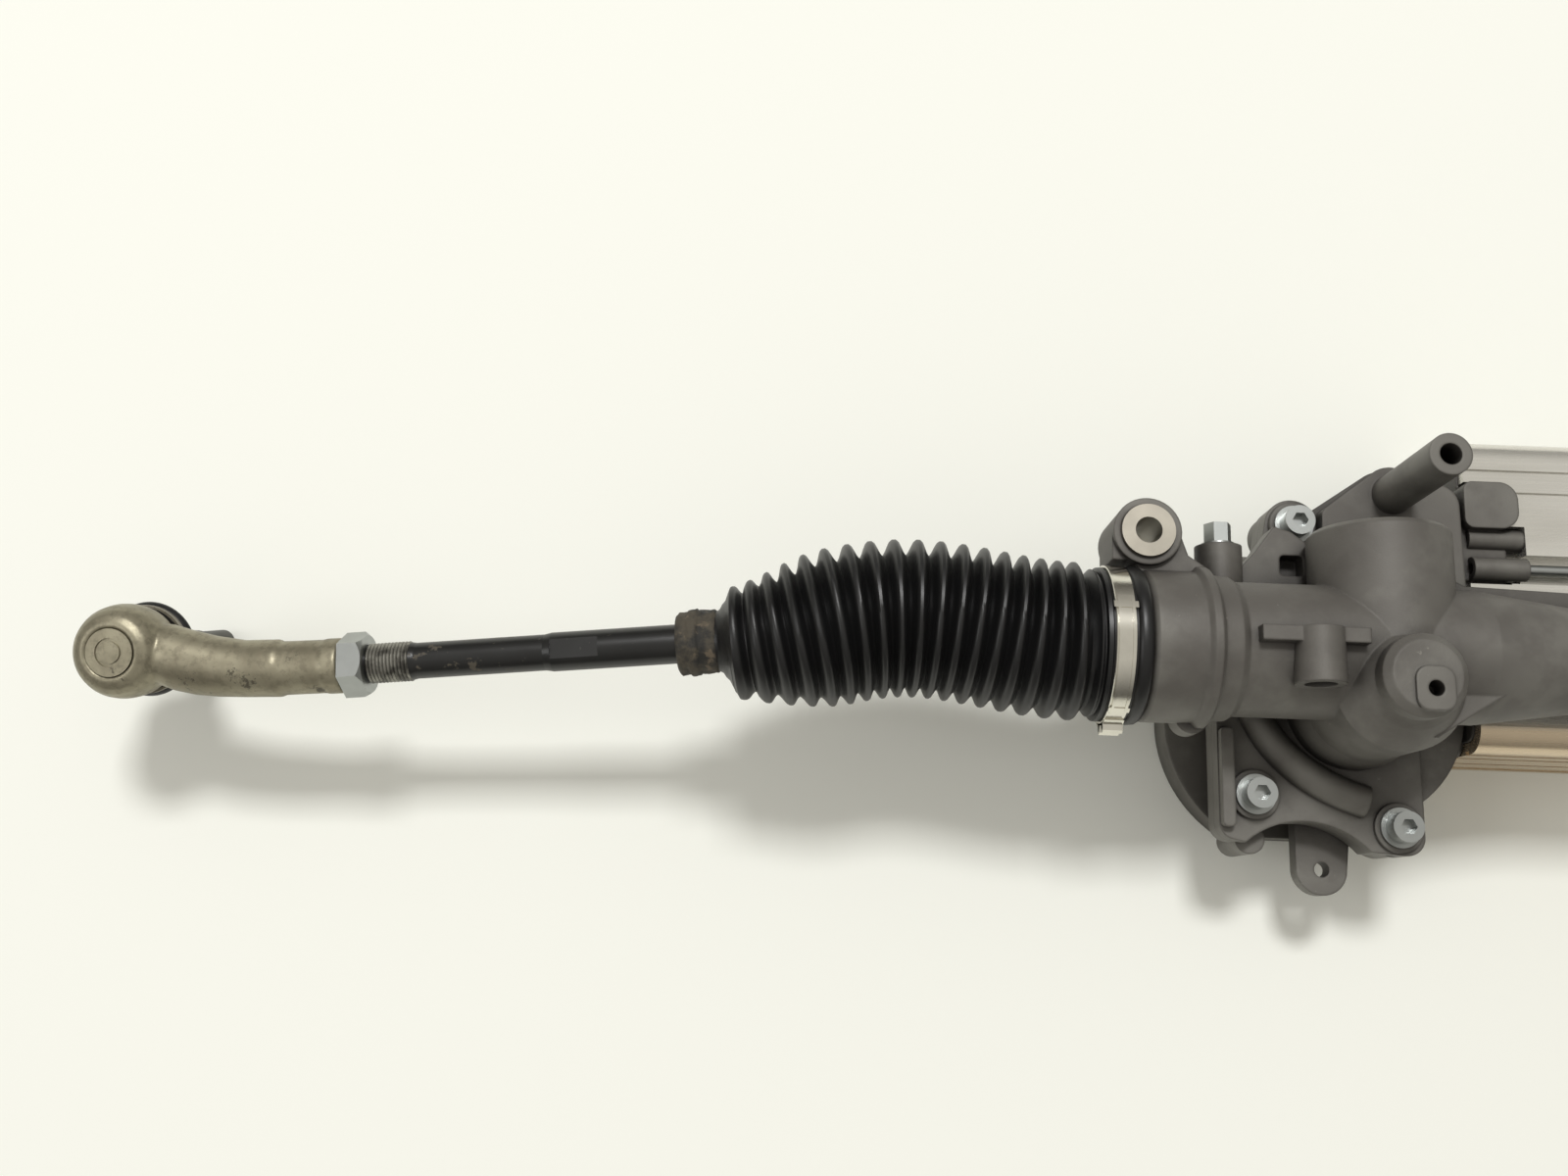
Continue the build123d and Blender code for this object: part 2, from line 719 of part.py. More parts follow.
# Worm wheel: helical teeth on a ring, turned to lie along the worm's thread
wheel_root = wheel_radius - 1.2 * worm_module
wheel_tip = wheel_radius + worm_module
wheel_twist = degrees(wheel_width * worm_module * worm_starts / 2 / worm_pitch_radius / wheel_radius)
wheel_tooth = tooth(wheel_teeth, worm_module, 0, wheel_tip, 0)
with BuildPart() as worm_wheel:
    for share in (-0.5, 0, 0.5):
        with BuildSketch(plan.offset(worm_z + share * wheel_width)):
            with Locations((0, -pinion_offset)):
                add(gear_face(wheel_teeth, wheel_root, wheel_tooth, 90 + share * wheel_twist))
    loft(ruled=True)
    wheel_hollow = [
        (15, wheel_low - 1),
        (wheel_root - 5, wheel_low - 1),
        (wheel_root - 7, wheel_low + 6),
        (17, wheel_low + 6),
    ]
    wheel_axis = Axis(at(0, -pinion_offset), (0, 0, 1))
    with BuildSketch(upright_plane(0, -pinion_offset)) as hollow:
        with BuildLine():
            Polyline(*wheel_hollow, close=True)
        make_face()
    revolve(hollow.sketch, axis=wheel_axis, mode=Mode.SUBTRACT)
    bored(0, -pinion_offset, [(wheel_bore, wheel_low, wheel_high)])
worm_wheel.part.label = "worm_wheel"
export_step(worm_wheel.part, "parts/worm_wheel.step")

# Worm shaft: trapezoid threads lofted through sections along the helix
axial_pitch = pi * worm_module
worm_lead = worm_starts * axial_pitch
worm_tip = worm_pitch_radius + worm_module
worm_root = worm_pitch_radius - 1.2 * worm_module
sections_per_turn = 12
thread_sections = round(worm_length / worm_lead * sections_per_turn)
with BuildPart() as worm_shaft:
    for start in range(worm_starts):
        for step in range(thread_sections + 1):
            crest = worm_length * (step / thread_sections - 0.5)
            turn = pi + 2 * pi * (crest - (start + 0.5) * axial_pitch) / worm_lead
            section = Plane(origin=at(crest, worm_y, worm_z), x_dir=(1, 0, 0), z_dir=(0, -sin(turn), cos(turn)))
            root_half = axial_pitch / 4 + 1.2 * worm_module * tan(pressure_angle) - worm_backlash
            tip_half = axial_pitch / 4 - worm_module * tan(pressure_angle) - worm_backlash
            with BuildSketch(section):
                Polygon(
                    (-root_half, worm_root - 0.5),
                    (root_half, worm_root - 0.5),
                    (tip_half, worm_tip),
                    (-tip_half, worm_tip),
                    align=None,
                )
        loft(ruled=True)
    for radius, low, high in ((worm_root, -28, 28), (5, -45, -28), (6, 28, 57)):
        with BuildSketch(across.offset(low)):
            with Locations((worm_y, worm_z)):
                Circle(radius)
        extrude(amount=high - low)
worm_shaft.part.label = "worm_shaft"
export_step(worm_shaft.part, "parts/worm_shaft.step")

# Rotor of the motor, and the sleeve that joins it to the worm shaft
motor_end = motor_face + motor_length
with BuildPart() as rotor:
    for radius, low, high in ((6, 57, 180), (rotor_radius, motor_face + 28, motor_face + 84)):
        with BuildSketch(across.offset(low)):
            with Locations((worm_y, worm_z)):
                Circle(radius)
        extrude(amount=high - low)
rotor.part.label = "rotor"
export_step(rotor.part, "parts/rotor.step")

with BuildPart() as shaft_coupling:
    with BuildSketch(across.offset(50)):
        with Locations((worm_y, worm_z)):
            RegularPolygon(12, 6)
            Circle(6, mode=Mode.SUBTRACT)
    extrude(amount=14)
shaft_coupling.part.label = "shaft_coupling"
export_step(shaft_coupling.part, "parts/shaft_coupling.step")

# Stator: a slotted iron ring
with BuildPart() as stator:
    with BuildSketch(across.offset(motor_face + 24)):
        with Locations((worm_y, worm_z)):
            Circle(stator_radius)
            Circle(rotor_radius + 0.8, mode=Mode.SUBTRACT)
            with PolarLocations(rotor_radius + 2, 12):
                Rectangle(5, 2, mode=Mode.SUBTRACT)
    extrude(amount=64)
stator.part.label = "stator"
export_step(stator.part, "parts/stator.step")

# Motor housing: an extrusion with grooved flanks
valley_floor = -37.0
valley_width = 13.0
board_room = 30.0  # depth of the control unit's room in the end of the motor housing
motor_low = worm_z - motor_height / 2
motor_high = worm_z + motor_height / 2
with BuildPart() as motor_housing:
    with BuildSketch(across.offset(skirt_start)):
        with Locations((motor_middle, worm_z)):
            RectangleRounded(motor_width, motor_height, motor_corner)
        # Foot ridge below the near flank, and the valley for the lower long screw
        with Locations((motor_side_low + 6, motor_low + 2)):
            Rectangle(12, 4)
        with Locations((motor_bolts[1][0], motor_high)):
            Rectangle(valley_width, 2 * (motor_high - valley_floor), mode=Mode.SUBTRACT)
        # Grooves along both flanks and along the top beside the far flank
        for height in (motor_low + 9, motor_low + 24, motor_high - 26, motor_high - 14):
            with Locations((motor_side_low, height), (motor_side_high, height)):
                Rectangle(3, 3, mode=Mode.SUBTRACT)
        with Locations((motor_side_high - 16, motor_high), (motor_side_high - 26, motor_high)):
            Rectangle(2, 2.4, mode=Mode.SUBTRACT)
    extrude(amount=motor_end - skirt_start)
    # Skirt over the gearbox, open round its lugs and its shoulder
    with BuildSketch(across.offset(skirt_start)):
        with Locations((motor_middle, worm_z)):
            RectangleRounded(motor_width - 2 * skirt_wall, motor_height - 2 * skirt_wall, motor_corner - skirt_wall)
        with Locations((62, motor_high)):
            Rectangle(46, 20)
    extrude(amount=motor_face - skirt_start, mode=Mode.SUBTRACT)
    # Pocket for the lugs of the gearbox, and the hole of the upper long screw
    pocket_depth = 2 * (motor_high - motor_bolts[0][1] + motor_lug_radius + joint_gap)
    with BuildSketch(across.offset(motor_face)):
        with Locations((bolts_middle, motor_high)):
            Rectangle(bolts_apart + 2 * (motor_lug_radius + joint_gap), pocket_depth)
    extrude(amount=lug_end - motor_face + joint_gap, mode=Mode.SUBTRACT)
    with BuildSketch(across.offset(motor_face)):
        with Locations(motor_bolts[0]):
            Circle(motor_bolt_radius + joint_gap)
    extrude(amount=motor_length, mode=Mode.SUBTRACT)
    # Bore of the stator, shaft bearing and the room of the control unit
    with BuildSketch(across.offset(motor_face)):
        with Locations((worm_y, worm_z)):
            Circle(stator_radius)
    extrude(amount=96, mode=Mode.SUBTRACT)
    with BuildSketch(across.offset(motor_face)):
        with Locations((worm_y, worm_z)):
            Circle(12)
    extrude(amount=112, mode=Mode.SUBTRACT)
    with BuildSketch(across.offset(motor_end - board_room)):
        with Locations((motor_middle, worm_z - 3)):
            RectangleRounded(motor_width - 14, 50, 6)
    extrude(amount=board_room, mode=Mode.SUBTRACT)
motor_housing.part.label = "motor_housing"
export_step(motor_housing.part, "parts/motor_housing.step")

# Long screws that hold the motor to the gearbox
with BuildPart() as motor_screws:
    with BuildSketch(across.offset(60)):
        with Locations(*motor_bolts):
            Circle(motor_bolt_radius)
    extrude(amount=motor_end + end_cover_length - 60)
    with BuildSketch(across.offset(motor_end + end_cover_length)):
        with Locations(*motor_bolts):
            RegularPolygon(4.6, 6)
    extrude(amount=4)
motor_screws.part.label = "motor_screws"
export_step(motor_screws.part, "parts/motor_screws.step")

# Control board in the end of the motor housing
with BuildPart() as control_board:
    with BuildSketch(across.offset(motor_end - 18)):
        with Locations((motor_middle, worm_z - 3)):
            RectangleRounded(motor_width - 14, 50, 6)
    extrude(amount=1.6)
    with BuildSketch(across.offset(motor_end - 16.4)):
        with Locations((0, worm_z - 6), (30, worm_z - 6)):
            Rectangle(18, 18)
        with Locations((62, worm_z), (62, worm_z - 16), (80, worm_z - 8)):
            Circle(5)
    extrude(amount=8)
control_board.part.label = "control_board"
export_step(control_board.part, "parts/control_board.step")

# End cover of the motor housing
with BuildPart() as motor_end_cover:
    with BuildSketch(across.offset(motor_end)):
        with Locations((motor_middle, worm_z)):
            RectangleRounded(motor_width, motor_height, motor_corner)
    extrude(amount=end_cover_length)
    with BuildSketch(across.offset(motor_end)):
        with Locations((motor_middle, worm_z - 3)):
            RectangleRounded(motor_width - 14, 50, 6)
    extrude(amount=end_cover_length - 4, mode=Mode.SUBTRACT)
    fillet(motor_end_cover.edges().group_by(Axis.X)[-1], radius=3)
    with BuildSketch(across.offset(motor_end)):
        with Locations(*motor_bolts):
            Circle(motor_lug_radius)
        with Locations((bolts_middle, motor_bolts[0][1] - motor_lug_radius)):
            Rectangle(bolts_apart + 2 * motor_lug_radius, 2 * motor_lug_radius)
    extrude(amount=end_cover_length)
    with BuildSketch(across.offset(motor_end)):
        with Locations(*motor_bolts):
            Circle(motor_bolt_radius)
    extrude(amount=end_cover_length, mode=Mode.SUBTRACT)
motor_end_cover.part.label = "motor_end_cover"
export_step(motor_end_cover.part, "parts/motor_end_cover.step")

# Plug sockets on the end cover
socket_depth = 14.0
with BuildPart() as plug_sockets:
    for y, width, height in ((-2, 30, 22), (76, 36, 16)):
        with BuildSketch(across.offset(motor_end + end_cover_length)):
            with Locations((y, worm_z)):
                RectangleRounded(width, height, 4)
        extrude(amount=socket_depth + 2)
        with BuildSketch(across.offset(motor_end + end_cover_length + 2)):
            with Locations((y, worm_z)):
                RectangleRounded(width - 4, height - 4, 2)
        extrude(amount=socket_depth, mode=Mode.SUBTRACT)
plug_sockets.part.label = "plug_sockets"
export_step(plug_sockets.part, "parts/plug_sockets.step")

# Bearings of the worm shaft and of the rotor
with BuildPart() as worm_bearings:
    for radius, low, high, outer in ((5, -44, -33, tunnel_bore), (6, 33, 45, tunnel_bore), (6, 167, 177, 12)):
        with BuildSketch(across.offset(low)):
            with Locations((worm_y, worm_z)):
                Circle(outer)
                Circle(radius + running_gap, mode=Mode.SUBTRACT)
        extrude(amount=high - low)
worm_bearings.part.label = "worm_bearings"
export_step(worm_bearings.part, "parts/worm_bearings.step")

# Bearings of the drive pinion: needle, ball, and the one under the wheel
with BuildPart() as drive_bearings:
    rings = [
        (shaft_tip_radius, needle_radius, pinion_face + 2, pinion_face + 12),
        (shaft_radius, ball_bearing_radius, -32 - bearing_width, -32),
        (shaft_tip_radius, 11, -89.5, -80.5),
    ]
    stepped(0, -pinion_offset, [(outer, low, high) for inner, outer, low, high in rings])
    bored(0, -pinion_offset, [(inner + running_gap, low, high) for inner, outer, low, high in rings])
drive_bearings.part.label = "drive_bearings"
export_step(drive_bearings.part, "parts/drive_bearings.step")

# Input pinion, hollow for the torsion bar
with BuildPart() as input_pinion:
    stepped(input_x, -pinion_offset, [(shaft_tip_radius, -27, pinion_face), (shaft_radius, pinion_face, 40)])
    with BuildSketch(plan.offset(-pinion_face)):
        with Locations((input_x, -pinion_offset)):
            add(pinion_face_outline)
    extrude(amount=2 * pinion_face)
    bored(input_x, -pinion_offset, [(3, -8, 24), (7, 24, 40)])
input_pinion.part.label = "input_pinion"
export_step(input_pinion.part, "parts/input_pinion.step")

with BuildPart() as torsion_bar:
    stepped(input_x, -pinion_offset, [(3, -8, 4), (2.2, 4, 52), (3, 52, 62)])
torsion_bar.part.label = "torsion_bar"
export_step(torsion_bar.part, "parts/torsion_bar.step")

# Input shaft with a splined end for the steering column
spline_radius = 8.5
spline_bottom = 92.0
input_top = 116.0
with BuildPart() as input_shaft:
    stepped(input_x, -pinion_offset, [(7, 26, 42), (8, 42, spline_bottom)])
    with BuildSketch(plan.offset(spline_bottom)):
        with Locations((input_x, -pinion_offset)):
            Circle(spline_radius)
            with PolarLocations(spline_radius, 24):
                RegularPolygon(0.9, 4, mode=Mode.SUBTRACT)
    extrude(amount=input_top - spline_bottom)
    with BuildSketch(plan.offset(spline_bottom + 7)) as clamp_groove:
        with Locations((input_x, -pinion_offset)):
            Circle(spline_radius + 1)
            Circle(spline_radius - 1.4, mode=Mode.SUBTRACT)
    extrude(amount=6, mode=Mode.SUBTRACT)
    bored(input_x, -pinion_offset, [(3, 26, 62)])
input_shaft.part.label = "input_shaft"
export_step(input_shaft.part, "parts/input_shaft.step")

with BuildPart() as input_bearings:
    rings = [
        (shaft_tip_radius, needle_radius, -26, -16),
        (shaft_radius, ball_bearing_radius, 20, 20 + bearing_width),
    ]
    stepped(input_x, -pinion_offset, [(outer, low, high) for inner, outer, low, high in rings])
    bored(input_x, -pinion_offset, [(inner + running_gap, low, high) for inner, outer, low, high in rings])
input_bearings.part.label = "input_bearings"
export_step(input_bearings.part, "parts/input_bearings.step")

# Torque sensor, its cover and the shaft seal
with BuildPart() as torque_sensor:
    stepped(input_x, -pinion_offset, [(boss_radius + 6, 45, 63)])
    with BuildSketch(plan.offset(47)):
        with Locations((input_x + boss_radius + 13, -pinion_offset)):
            Rectangle(26, 24)
    extrude(amount=14)
    bored(input_x, -pinion_offset, [(12, 45, 63)])
    with BuildSketch(across.offset(input_x + boss_radius + 14)):
        with Locations((-pinion_offset, 54)):
            Rectangle(20, 10)
    extrude(amount=12, mode=Mode.SUBTRACT)
torque_sensor.part.label = "torque_sensor"
export_step(torque_sensor.part, "parts/torque_sensor.step")

with BuildPart() as sensor_cover:
    cover = [
        (0, 63),
        (boss_radius + 6, 63),
        (boss_radius + 6, 67),
        (boss_radius + 3, 70),
        (17, 74),
        (15, 84),
        (0, 84),
    ]
    turned(upright_plane(input_x, -pinion_offset), cover, Axis(at(input_x, -pinion_offset), (0, 0, 1)))
    bored(input_x, -pinion_offset, [(14, 63, 66), (9, 66, 78), (12, 78, 84)])
sensor_cover.part.label = "sensor_cover"
export_step(sensor_cover.part, "parts/sensor_cover.step")

with BuildPart() as input_seal:
    stepped(input_x, -pinion_offset, [(12, 78, 85)])
    bored(input_x, -pinion_offset, [(8 + running_gap, 78, 85)])
input_seal.part.label = "input_seal"
export_step(input_seal.part, "parts/input_seal.step")

# Sleeves of the mounting eyes
with BuildPart() as mounting_sleeves:
    for eye_x, eye_y in eyes:
        stepped(eye_x, eye_y, [(sleeve_radius, eye_bottom - 2, sleeve_top)])
        bored(eye_x, eye_y, [(sleeve_bore, eye_bottom - 2, sleeve_top)])
mounting_sleeves.part.label = "mounting_sleeves"
export_step(mounting_sleeves.part, "parts/mounting_sleeves.step")

# Socket head screws and their washers
with BuildPart() as housing_screws:
    head_bottom = flange_top + washer_thickness
    for screw_x, screw_y in screw_points:
        steps = [(screw_radius, -60, head_bottom), (screw_head_radius, head_bottom, head_bottom + screw_head_height)]
        stepped(screw_x, screw_y, steps)
        with BuildSketch(plan.offset(head_bottom + 3.5)):
            with Locations((screw_x, screw_y)):
                RegularPolygon(3.5, 6)
        extrude(amount=screw_head_height, mode=Mode.SUBTRACT)
housing_screws.part.label = "housing_screws"
export_step(housing_screws.part, "parts/housing_screws.step")

with BuildPart() as screw_washers:
    for screw_x, screw_y in screw_points:
        stepped(screw_x, screw_y, [(washer_radius, flange_top, flange_top + washer_thickness)])
        bored(screw_x, screw_y, [(screw_radius, flange_top, flange_top + washer_thickness)])
screw_washers.part.label = "screw_washers"
export_step(screw_washers.part, "parts/screw_washers.step")

# Side screw with a hexagon head
with BuildPart() as side_screw:
    with BuildSketch(side.offset(-48)):
        with Locations((-63, -12)):
            Circle(3)
    extrude(amount=15)
    with BuildSketch(side.offset(-47.4)):
        with Locations((-63, -12)):
            Circle(7)
    extrude(amount=1.4)
    with BuildSketch(side.offset(-56)):
        with Locations((-63, -12)):
            RegularPolygon(5, 6, major_radius=False)
    extrude(amount=8.6)
side_screw.part.label = "side_screw"
export_step(side_screw.part, "parts/side_screw.step")

# Inner joint and tie rod of the left side. Tie rod pieces are drawn about the inner ball,
# with X out along the tie rod, and then laid at their yaw and droop.
outwards = (cos(radians(tie_droop)) * cos(radians(tie_yaw)), cos(radians(tie_droop)) * sin(radians(tie_yaw)))
tie_heading = Vector(-outwards[0], -outwards[1], -sin(radians(tie_droop)))
tie_up = tie_heading.cross(Vector(0, 0, 1)).cross(tie_heading)
tie_plane = Plane(origin=at(inner_ball_x, 0), x_dir=tie_heading, z_dir=tie_up)
tie_place = tie_plane.location
end_place = tie_place * Location((0, 0, 0), (-end_turn, 0, 0))
outer_centre = (outer_ball_reach, -outer_ball_crank)
stud_place = end_place * Location((*outer_centre, 0), (0, stud_tilt, 0))
tie_pieces = {}


def crosswise(x, y=0):
    """A plane across the tie rod, at a place along it."""
    return Plane(origin=(x, y, 0), x_dir=(0, 1, 0), z_dir=(1, 0, 0))


# Inner socket, screwed into the end of the rack bar
inner_plane = Plane(origin=at(inner_ball_x, 0), x_dir=(1, 0, 0), z_dir=(0, -1, 0))
with BuildPart(Plane(origin=at(inner_ball_x, 0))) as inner_socket:
    socket_outline = [
        (-socket_mouth, 0),
        (-socket_mouth, inner_socket_radius - 2),
        (-socket_mouth + 2, inner_socket_radius),
        (inner_socket_radius + 1, inner_socket_radius),
        (inner_socket_radius + 2.5, inner_socket_radius - 2),
        (inner_socket_radius + 2.5, 7),
        (inner_socket_radius + 20, 7),
        (inner_socket_radius + 20, 0),
    ]
    turned(inner_plane, socket_outline, rack_axis)
    revolve(half_disc(inner_plane, inner_liner_radius + joint_gap), axis=rack_axis, mode=Mode.SUBTRACT)
    # Flats for the spanner
    with Locations((12, 0, inner_socket_radius + 2), (12, 0, -inner_socket_radius - 2)):
        Box(16, 2 * inner_socket_radius, 8, mode=Mode.SUBTRACT)
tie_pieces["inner_socket"] = inner_socket.part

# Liner of the inner ball
with BuildPart() as inner_liner:
    liner_bore = inner_ball_radius + joint_gap
    liner = shell_section(inner_plane, liner_bore, inner_liner_radius, -socket_mouth, socket_mouth + 2)
    revolve(liner, axis=rack_axis)
tie_pieces["inner_liner"] = inner_liner.part

# Tie rod with its ball, spanner flats and threaded end
with BuildPart() as tie_rod:
    ball_edge = sqrt(inner_ball_radius**2 - tie_neck**2)
    rod_outline = [
        (28, tie_neck),
        (34, tie_radius),
        (tie_flat_end, tie_radius),
        (tie_flat_end + 3, tie_thin_radius),
        (thread_start - 2, tie_thin_radius),
        (thread_start, thread_radius),
        (thread_end - 1.5, thread_radius),
        (thread_end, thread_radius - 1.5),
        (thread_end, 0),
        (-inner_ball_radius, 0),
    ]
    with BuildSketch(Plane.XY) as rod_section:
        with BuildLine():
            ball_arc = ThreePointArc((-inner_ball_radius, 0), (0, inner_ball_radius), (ball_edge, tie_neck))
            Polyline(ball_arc @ 1, *rod_outline)
        make_face()
    revolve(rod_section.sketch, axis=Axis.X)
    flat_middle = (tie_flat_start + tie_flat_end) / 2
    with Locations((flat_middle, 0, tie_radius + 1), (flat_middle, 0, -tie_radius - 1)):
        Box(tie_flat_end - tie_flat_start, 2 * tie_radius, 4.2, mode=Mode.SUBTRACT)
tie_pieces["tie_rod"] = tie_place * tie_rod.part

# Jam nut
with BuildPart() as jam_nut:
    with BuildSketch(crosswise(nut_start)):
        RegularPolygon(nut_across_flats / 2, 6, major_radius=False)
        Circle(thread_radius, mode=Mode.SUBTRACT)
    extrude(amount=nut_thickness)
    with BuildSketch(Plane.XY) as corner_cut:
        with BuildLine():
            corner = nut_across_flats / sqrt(3)
            Polyline(
                (nut_start, nut_across_flats / 2),
                (nut_start, corner + 2),
                (nut_start + 2, corner + 2),
                (nut_start + 2, corner),
                close=True,
            )
        make_face()
    revolve(corner_cut.sketch, axis=Axis.X, mode=Mode.SUBTRACT)
tie_pieces["jam_nut"] = tie_place * jam_nut.part

# Tie rod end: a cranked forged arm with the outer socket
end_start = nut_start + nut_thickness
ball_axis = Axis((*outer_centre, 0), (0, 0, 1))
ball_plane = Plane(origin=(*outer_centre, 0), x_dir=(1, 0, 0), z_dir=(0, -1, 0))
ball_profile = Plane(origin=(*outer_centre, 0), x_dir=(0, 0, 1), z_dir=(0, 1, 0))
with BuildPart() as tie_rod_end:
    arm_sections = [
        (end_start, 0, shank_radius, shank_radius),
        (end_start + 30, 0, shank_radius, shank_radius),
        (end_start + 54, -3.5, 9.5, 10.5),
        (end_start + 74, -outer_ball_crank + 3, 11.5, 12),
        (outer_ball_reach - 8, -outer_ball_crank, 13.5, 12),
    ]
    for place, sideways, half_width, half_height in arm_sections:
        with BuildSketch(crosswise(place, sideways)):
            Ellipse(half_width, half_height)
    loft()
    socket = [
        (0, spigot_bottom),
        (spigot_radius, spigot_bottom),
        (spigot_radius, end_bottom),
        (end_radius - 1, end_bottom),
        (end_radius, end_bottom + 1),
        (end_radius, end_top - 6),
        (end_radius - 2, end_top - 2),
        (end_radius - 6, end_top),
        (0, end_top),
    ]
    turned(ball_plane, socket, ball_axis)
    revolve(half_disc(ball_profile, outer_liner_radius + joint_gap), axis=ball_axis, mode=Mode.SUBTRACT)
    with BuildSketch(Plane.XY.offset(spigot_bottom)):
        with Locations(outer_centre):
            Circle(spigot_radius - 2.9)
    extrude(amount=-spigot_bottom - socket_mouth + 1, mode=Mode.SUBTRACT)
    with BuildSketch(Plane.XY.offset(end_top - 3)):
        with Locations(outer_centre):
            Circle(10)
    extrude(amount=3, mode=Mode.SUBTRACT)
    with BuildSketch(crosswise(end_start)):
        Circle(thread_radius)
    extrude(amount=thread_end - end_start + 8, mode=Mode.SUBTRACT)
tie_pieces["tie_rod_end"] = end_place * tie_rod_end.part

# Cap that closes the outer socket
with BuildPart() as end_cap:
    with BuildSketch(Plane.XY.offset(end_top - 2.4)):
        with Locations(outer_centre):
            Circle(10)
    extrude(amount=2.2)
    with BuildSketch(Plane.XY.offset(end_top - 0.8)):
        with Locations(outer_centre):
            Circle(6)
            Circle(4.6, mode=Mode.SUBTRACT)
    extrude(amount=0.6, mode=Mode.SUBTRACT)
tie_pieces["end_cap"] = end_place * end_cap.part

# Liner of the outer ball
with BuildPart() as outer_liner:
    liner_bore = outer_ball_radius + joint_gap
    liner = shell_section(ball_profile, liner_bore, outer_liner_radius, -socket_mouth, socket_mouth)
    revolve(liner, axis=ball_axis)
tie_pieces["outer_liner"] = end_place * outer_liner.part

# Ball stud, with its taper and threaded end
with BuildPart() as ball_stud:
    stud_edge = sqrt(outer_ball_radius**2 - stud_neck**2)
    stud_outline = [
        (stud_neck, stud_collar_top),
        (stud_collar, stud_collar_top),
        (stud_collar, stud_collar_top - 3),
        (stud_thread + 0.6, stud_thread_length - stud_length),
        (stud_thread, stud_thread_length - stud_length - 0.6),
        (stud_thread, 1 - stud_length),
        (stud_thread - 1, -stud_length),
        (0, -stud_length),
        (0, outer_ball_radius),
    ]
    with BuildSketch(Plane.XZ) as stud_section:
        with BuildLine():
            ball_arc = ThreePointArc((0, outer_ball_radius), (outer_ball_radius, 0), (stud_neck, -stud_edge))
            Polyline(ball_arc @ 1, *stud_outline)
        make_face()
    revolve(stud_section.sketch, axis=Axis.Z)
tie_pieces["ball_stud"] = stud_place * ball_stud.part

# Dust boot over the mouth of the outer socket, and its ring
with BuildPart() as dust_boot:
    boot = [
        (spigot_radius + joint_gap, end_bottom - 0.4),
        (spigot_radius + 1.8, end_bottom - 0.4),
        (spigot_radius + 1.8, end_bottom - 4),
        (spigot_radius + 3.5, end_bottom - 7.5),
        (spigot_radius + 1, end_bottom - 11),
        (stud_collar + 2.5, end_bottom - 12.5),
        (stud_collar + 1.3, end_bottom - 12.5),
        (stud_collar + 1.3, end_bottom - 11.2),
        (spigot_radius, end_bottom - 9.8),
        (spigot_radius + 1.8, end_bottom - 7.3),
        (spigot_radius + joint_gap, end_bottom - 4.8),
    ]
    turned(ball_plane, boot, ball_axis)
tie_pieces["dust_boot"] = end_place * dust_boot.part

with BuildPart() as boot_ring:
    with BuildSketch(Plane.XY.offset(end_bottom - 3.8)):
        with Locations(outer_centre):
            Circle(spigot_radius + 3.2)
            Circle(spigot_radius + 2.1, mode=Mode.SUBTRACT)
    extrude(amount=3)
tie_pieces["boot_ring"] = end_place * boot_ring.part

# Bellows: a hollow body from the neck of the housing to its small cuff on the tie rod
cuff_radius = tie_radius + joint_gap + 3
with BuildPart() as bellows:
    seat_section = across.offset(seat_left)
    body_sections = [
        (across.offset(seat_left - 20), bellows_radius),
        (across.offset(seat_left - 75), bellows_radius),
        (across.offset(seat_left - 115), bellows_radius - 5),
        (Plane(tie_place * crosswise(cuff_start - 8).location), cuff_radius + 8),
    ]
    cuff_section = Plane(tie_place * crosswise(cuff_start).location)
    outer_sections = [(seat_section, neck_radius), *body_sections, (cuff_section, cuff_radius)]
    for section, radius in outer_sections:
        with BuildSketch(section):
            Circle(radius)
    loft()
    with BuildSketch(seat_section):
        Circle(neck_radius)
    extrude(amount=seat_length - joint_gap)
    with BuildSketch(cuff_section):
        Circle(cuff_radius)
    extrude(amount=cuff_end - cuff_start)
    with BuildSketch(seat_section):
        Circle(seat_radius + joint_gap)
    for section, radius in body_sections:
        with BuildSketch(section):
            Circle(radius - bellows_wall)
    with BuildSketch(cuff_section):
        Circle(tie_radius + joint_gap)
    loft(mode=Mode.SUBTRACT)
    with BuildSketch(seat_section):
        Circle(seat_radius + joint_gap)
    extrude(amount=seat_length, mode=Mode.SUBTRACT)
    with BuildSketch(cuff_section):
        Circle(tie_radius + joint_gap)
    extrude(amount=cuff_end - cuff_start, mode=Mode.SUBTRACT)
tie_pieces["bellows"] = bellows.part

with BuildPart() as bellows_clamp:
    with BuildSketch(across.offset(neck_left - 5 - clamp_width)):
        Circle(neck_radius + joint_gap + clamp_thickness)
        with Locations((-neck_radius - 2.5, 0)):
            Rectangle(5, 9)
        Circle(neck_radius + joint_gap, mode=Mode.SUBTRACT)
    extrude(amount=clamp_width)
tie_pieces["bellows_clamp"] = bellows_clamp.part

with BuildPart() as cuff_clip:
    with BuildSketch(crosswise(cuff_start + 6)):
        Circle(cuff_radius + joint_gap + 1)
        Circle(cuff_radius + joint_gap, mode=Mode.SUBTRACT)
    extrude(amount=7)
tie_pieces["cuff_clip"] = tie_place * cuff_clip.part

# Both sides: the right one is the left one mirrored about the middle of the rack
middle_plane = across.offset(rack_middle)
for name, piece in tie_pieces.items():
    with BuildPart() as left_piece:
        add(piece)
    left_piece.part.label = f"left_{name}"
    export_step(left_piece.part, f"parts/left_{name}.step")
    with BuildPart() as right_piece:
        add(mirror(piece, about=middle_plane))
    right_piece.part.label = f"right_{name}"
    export_step(right_piece.part, f"parts/right_{name}.step")
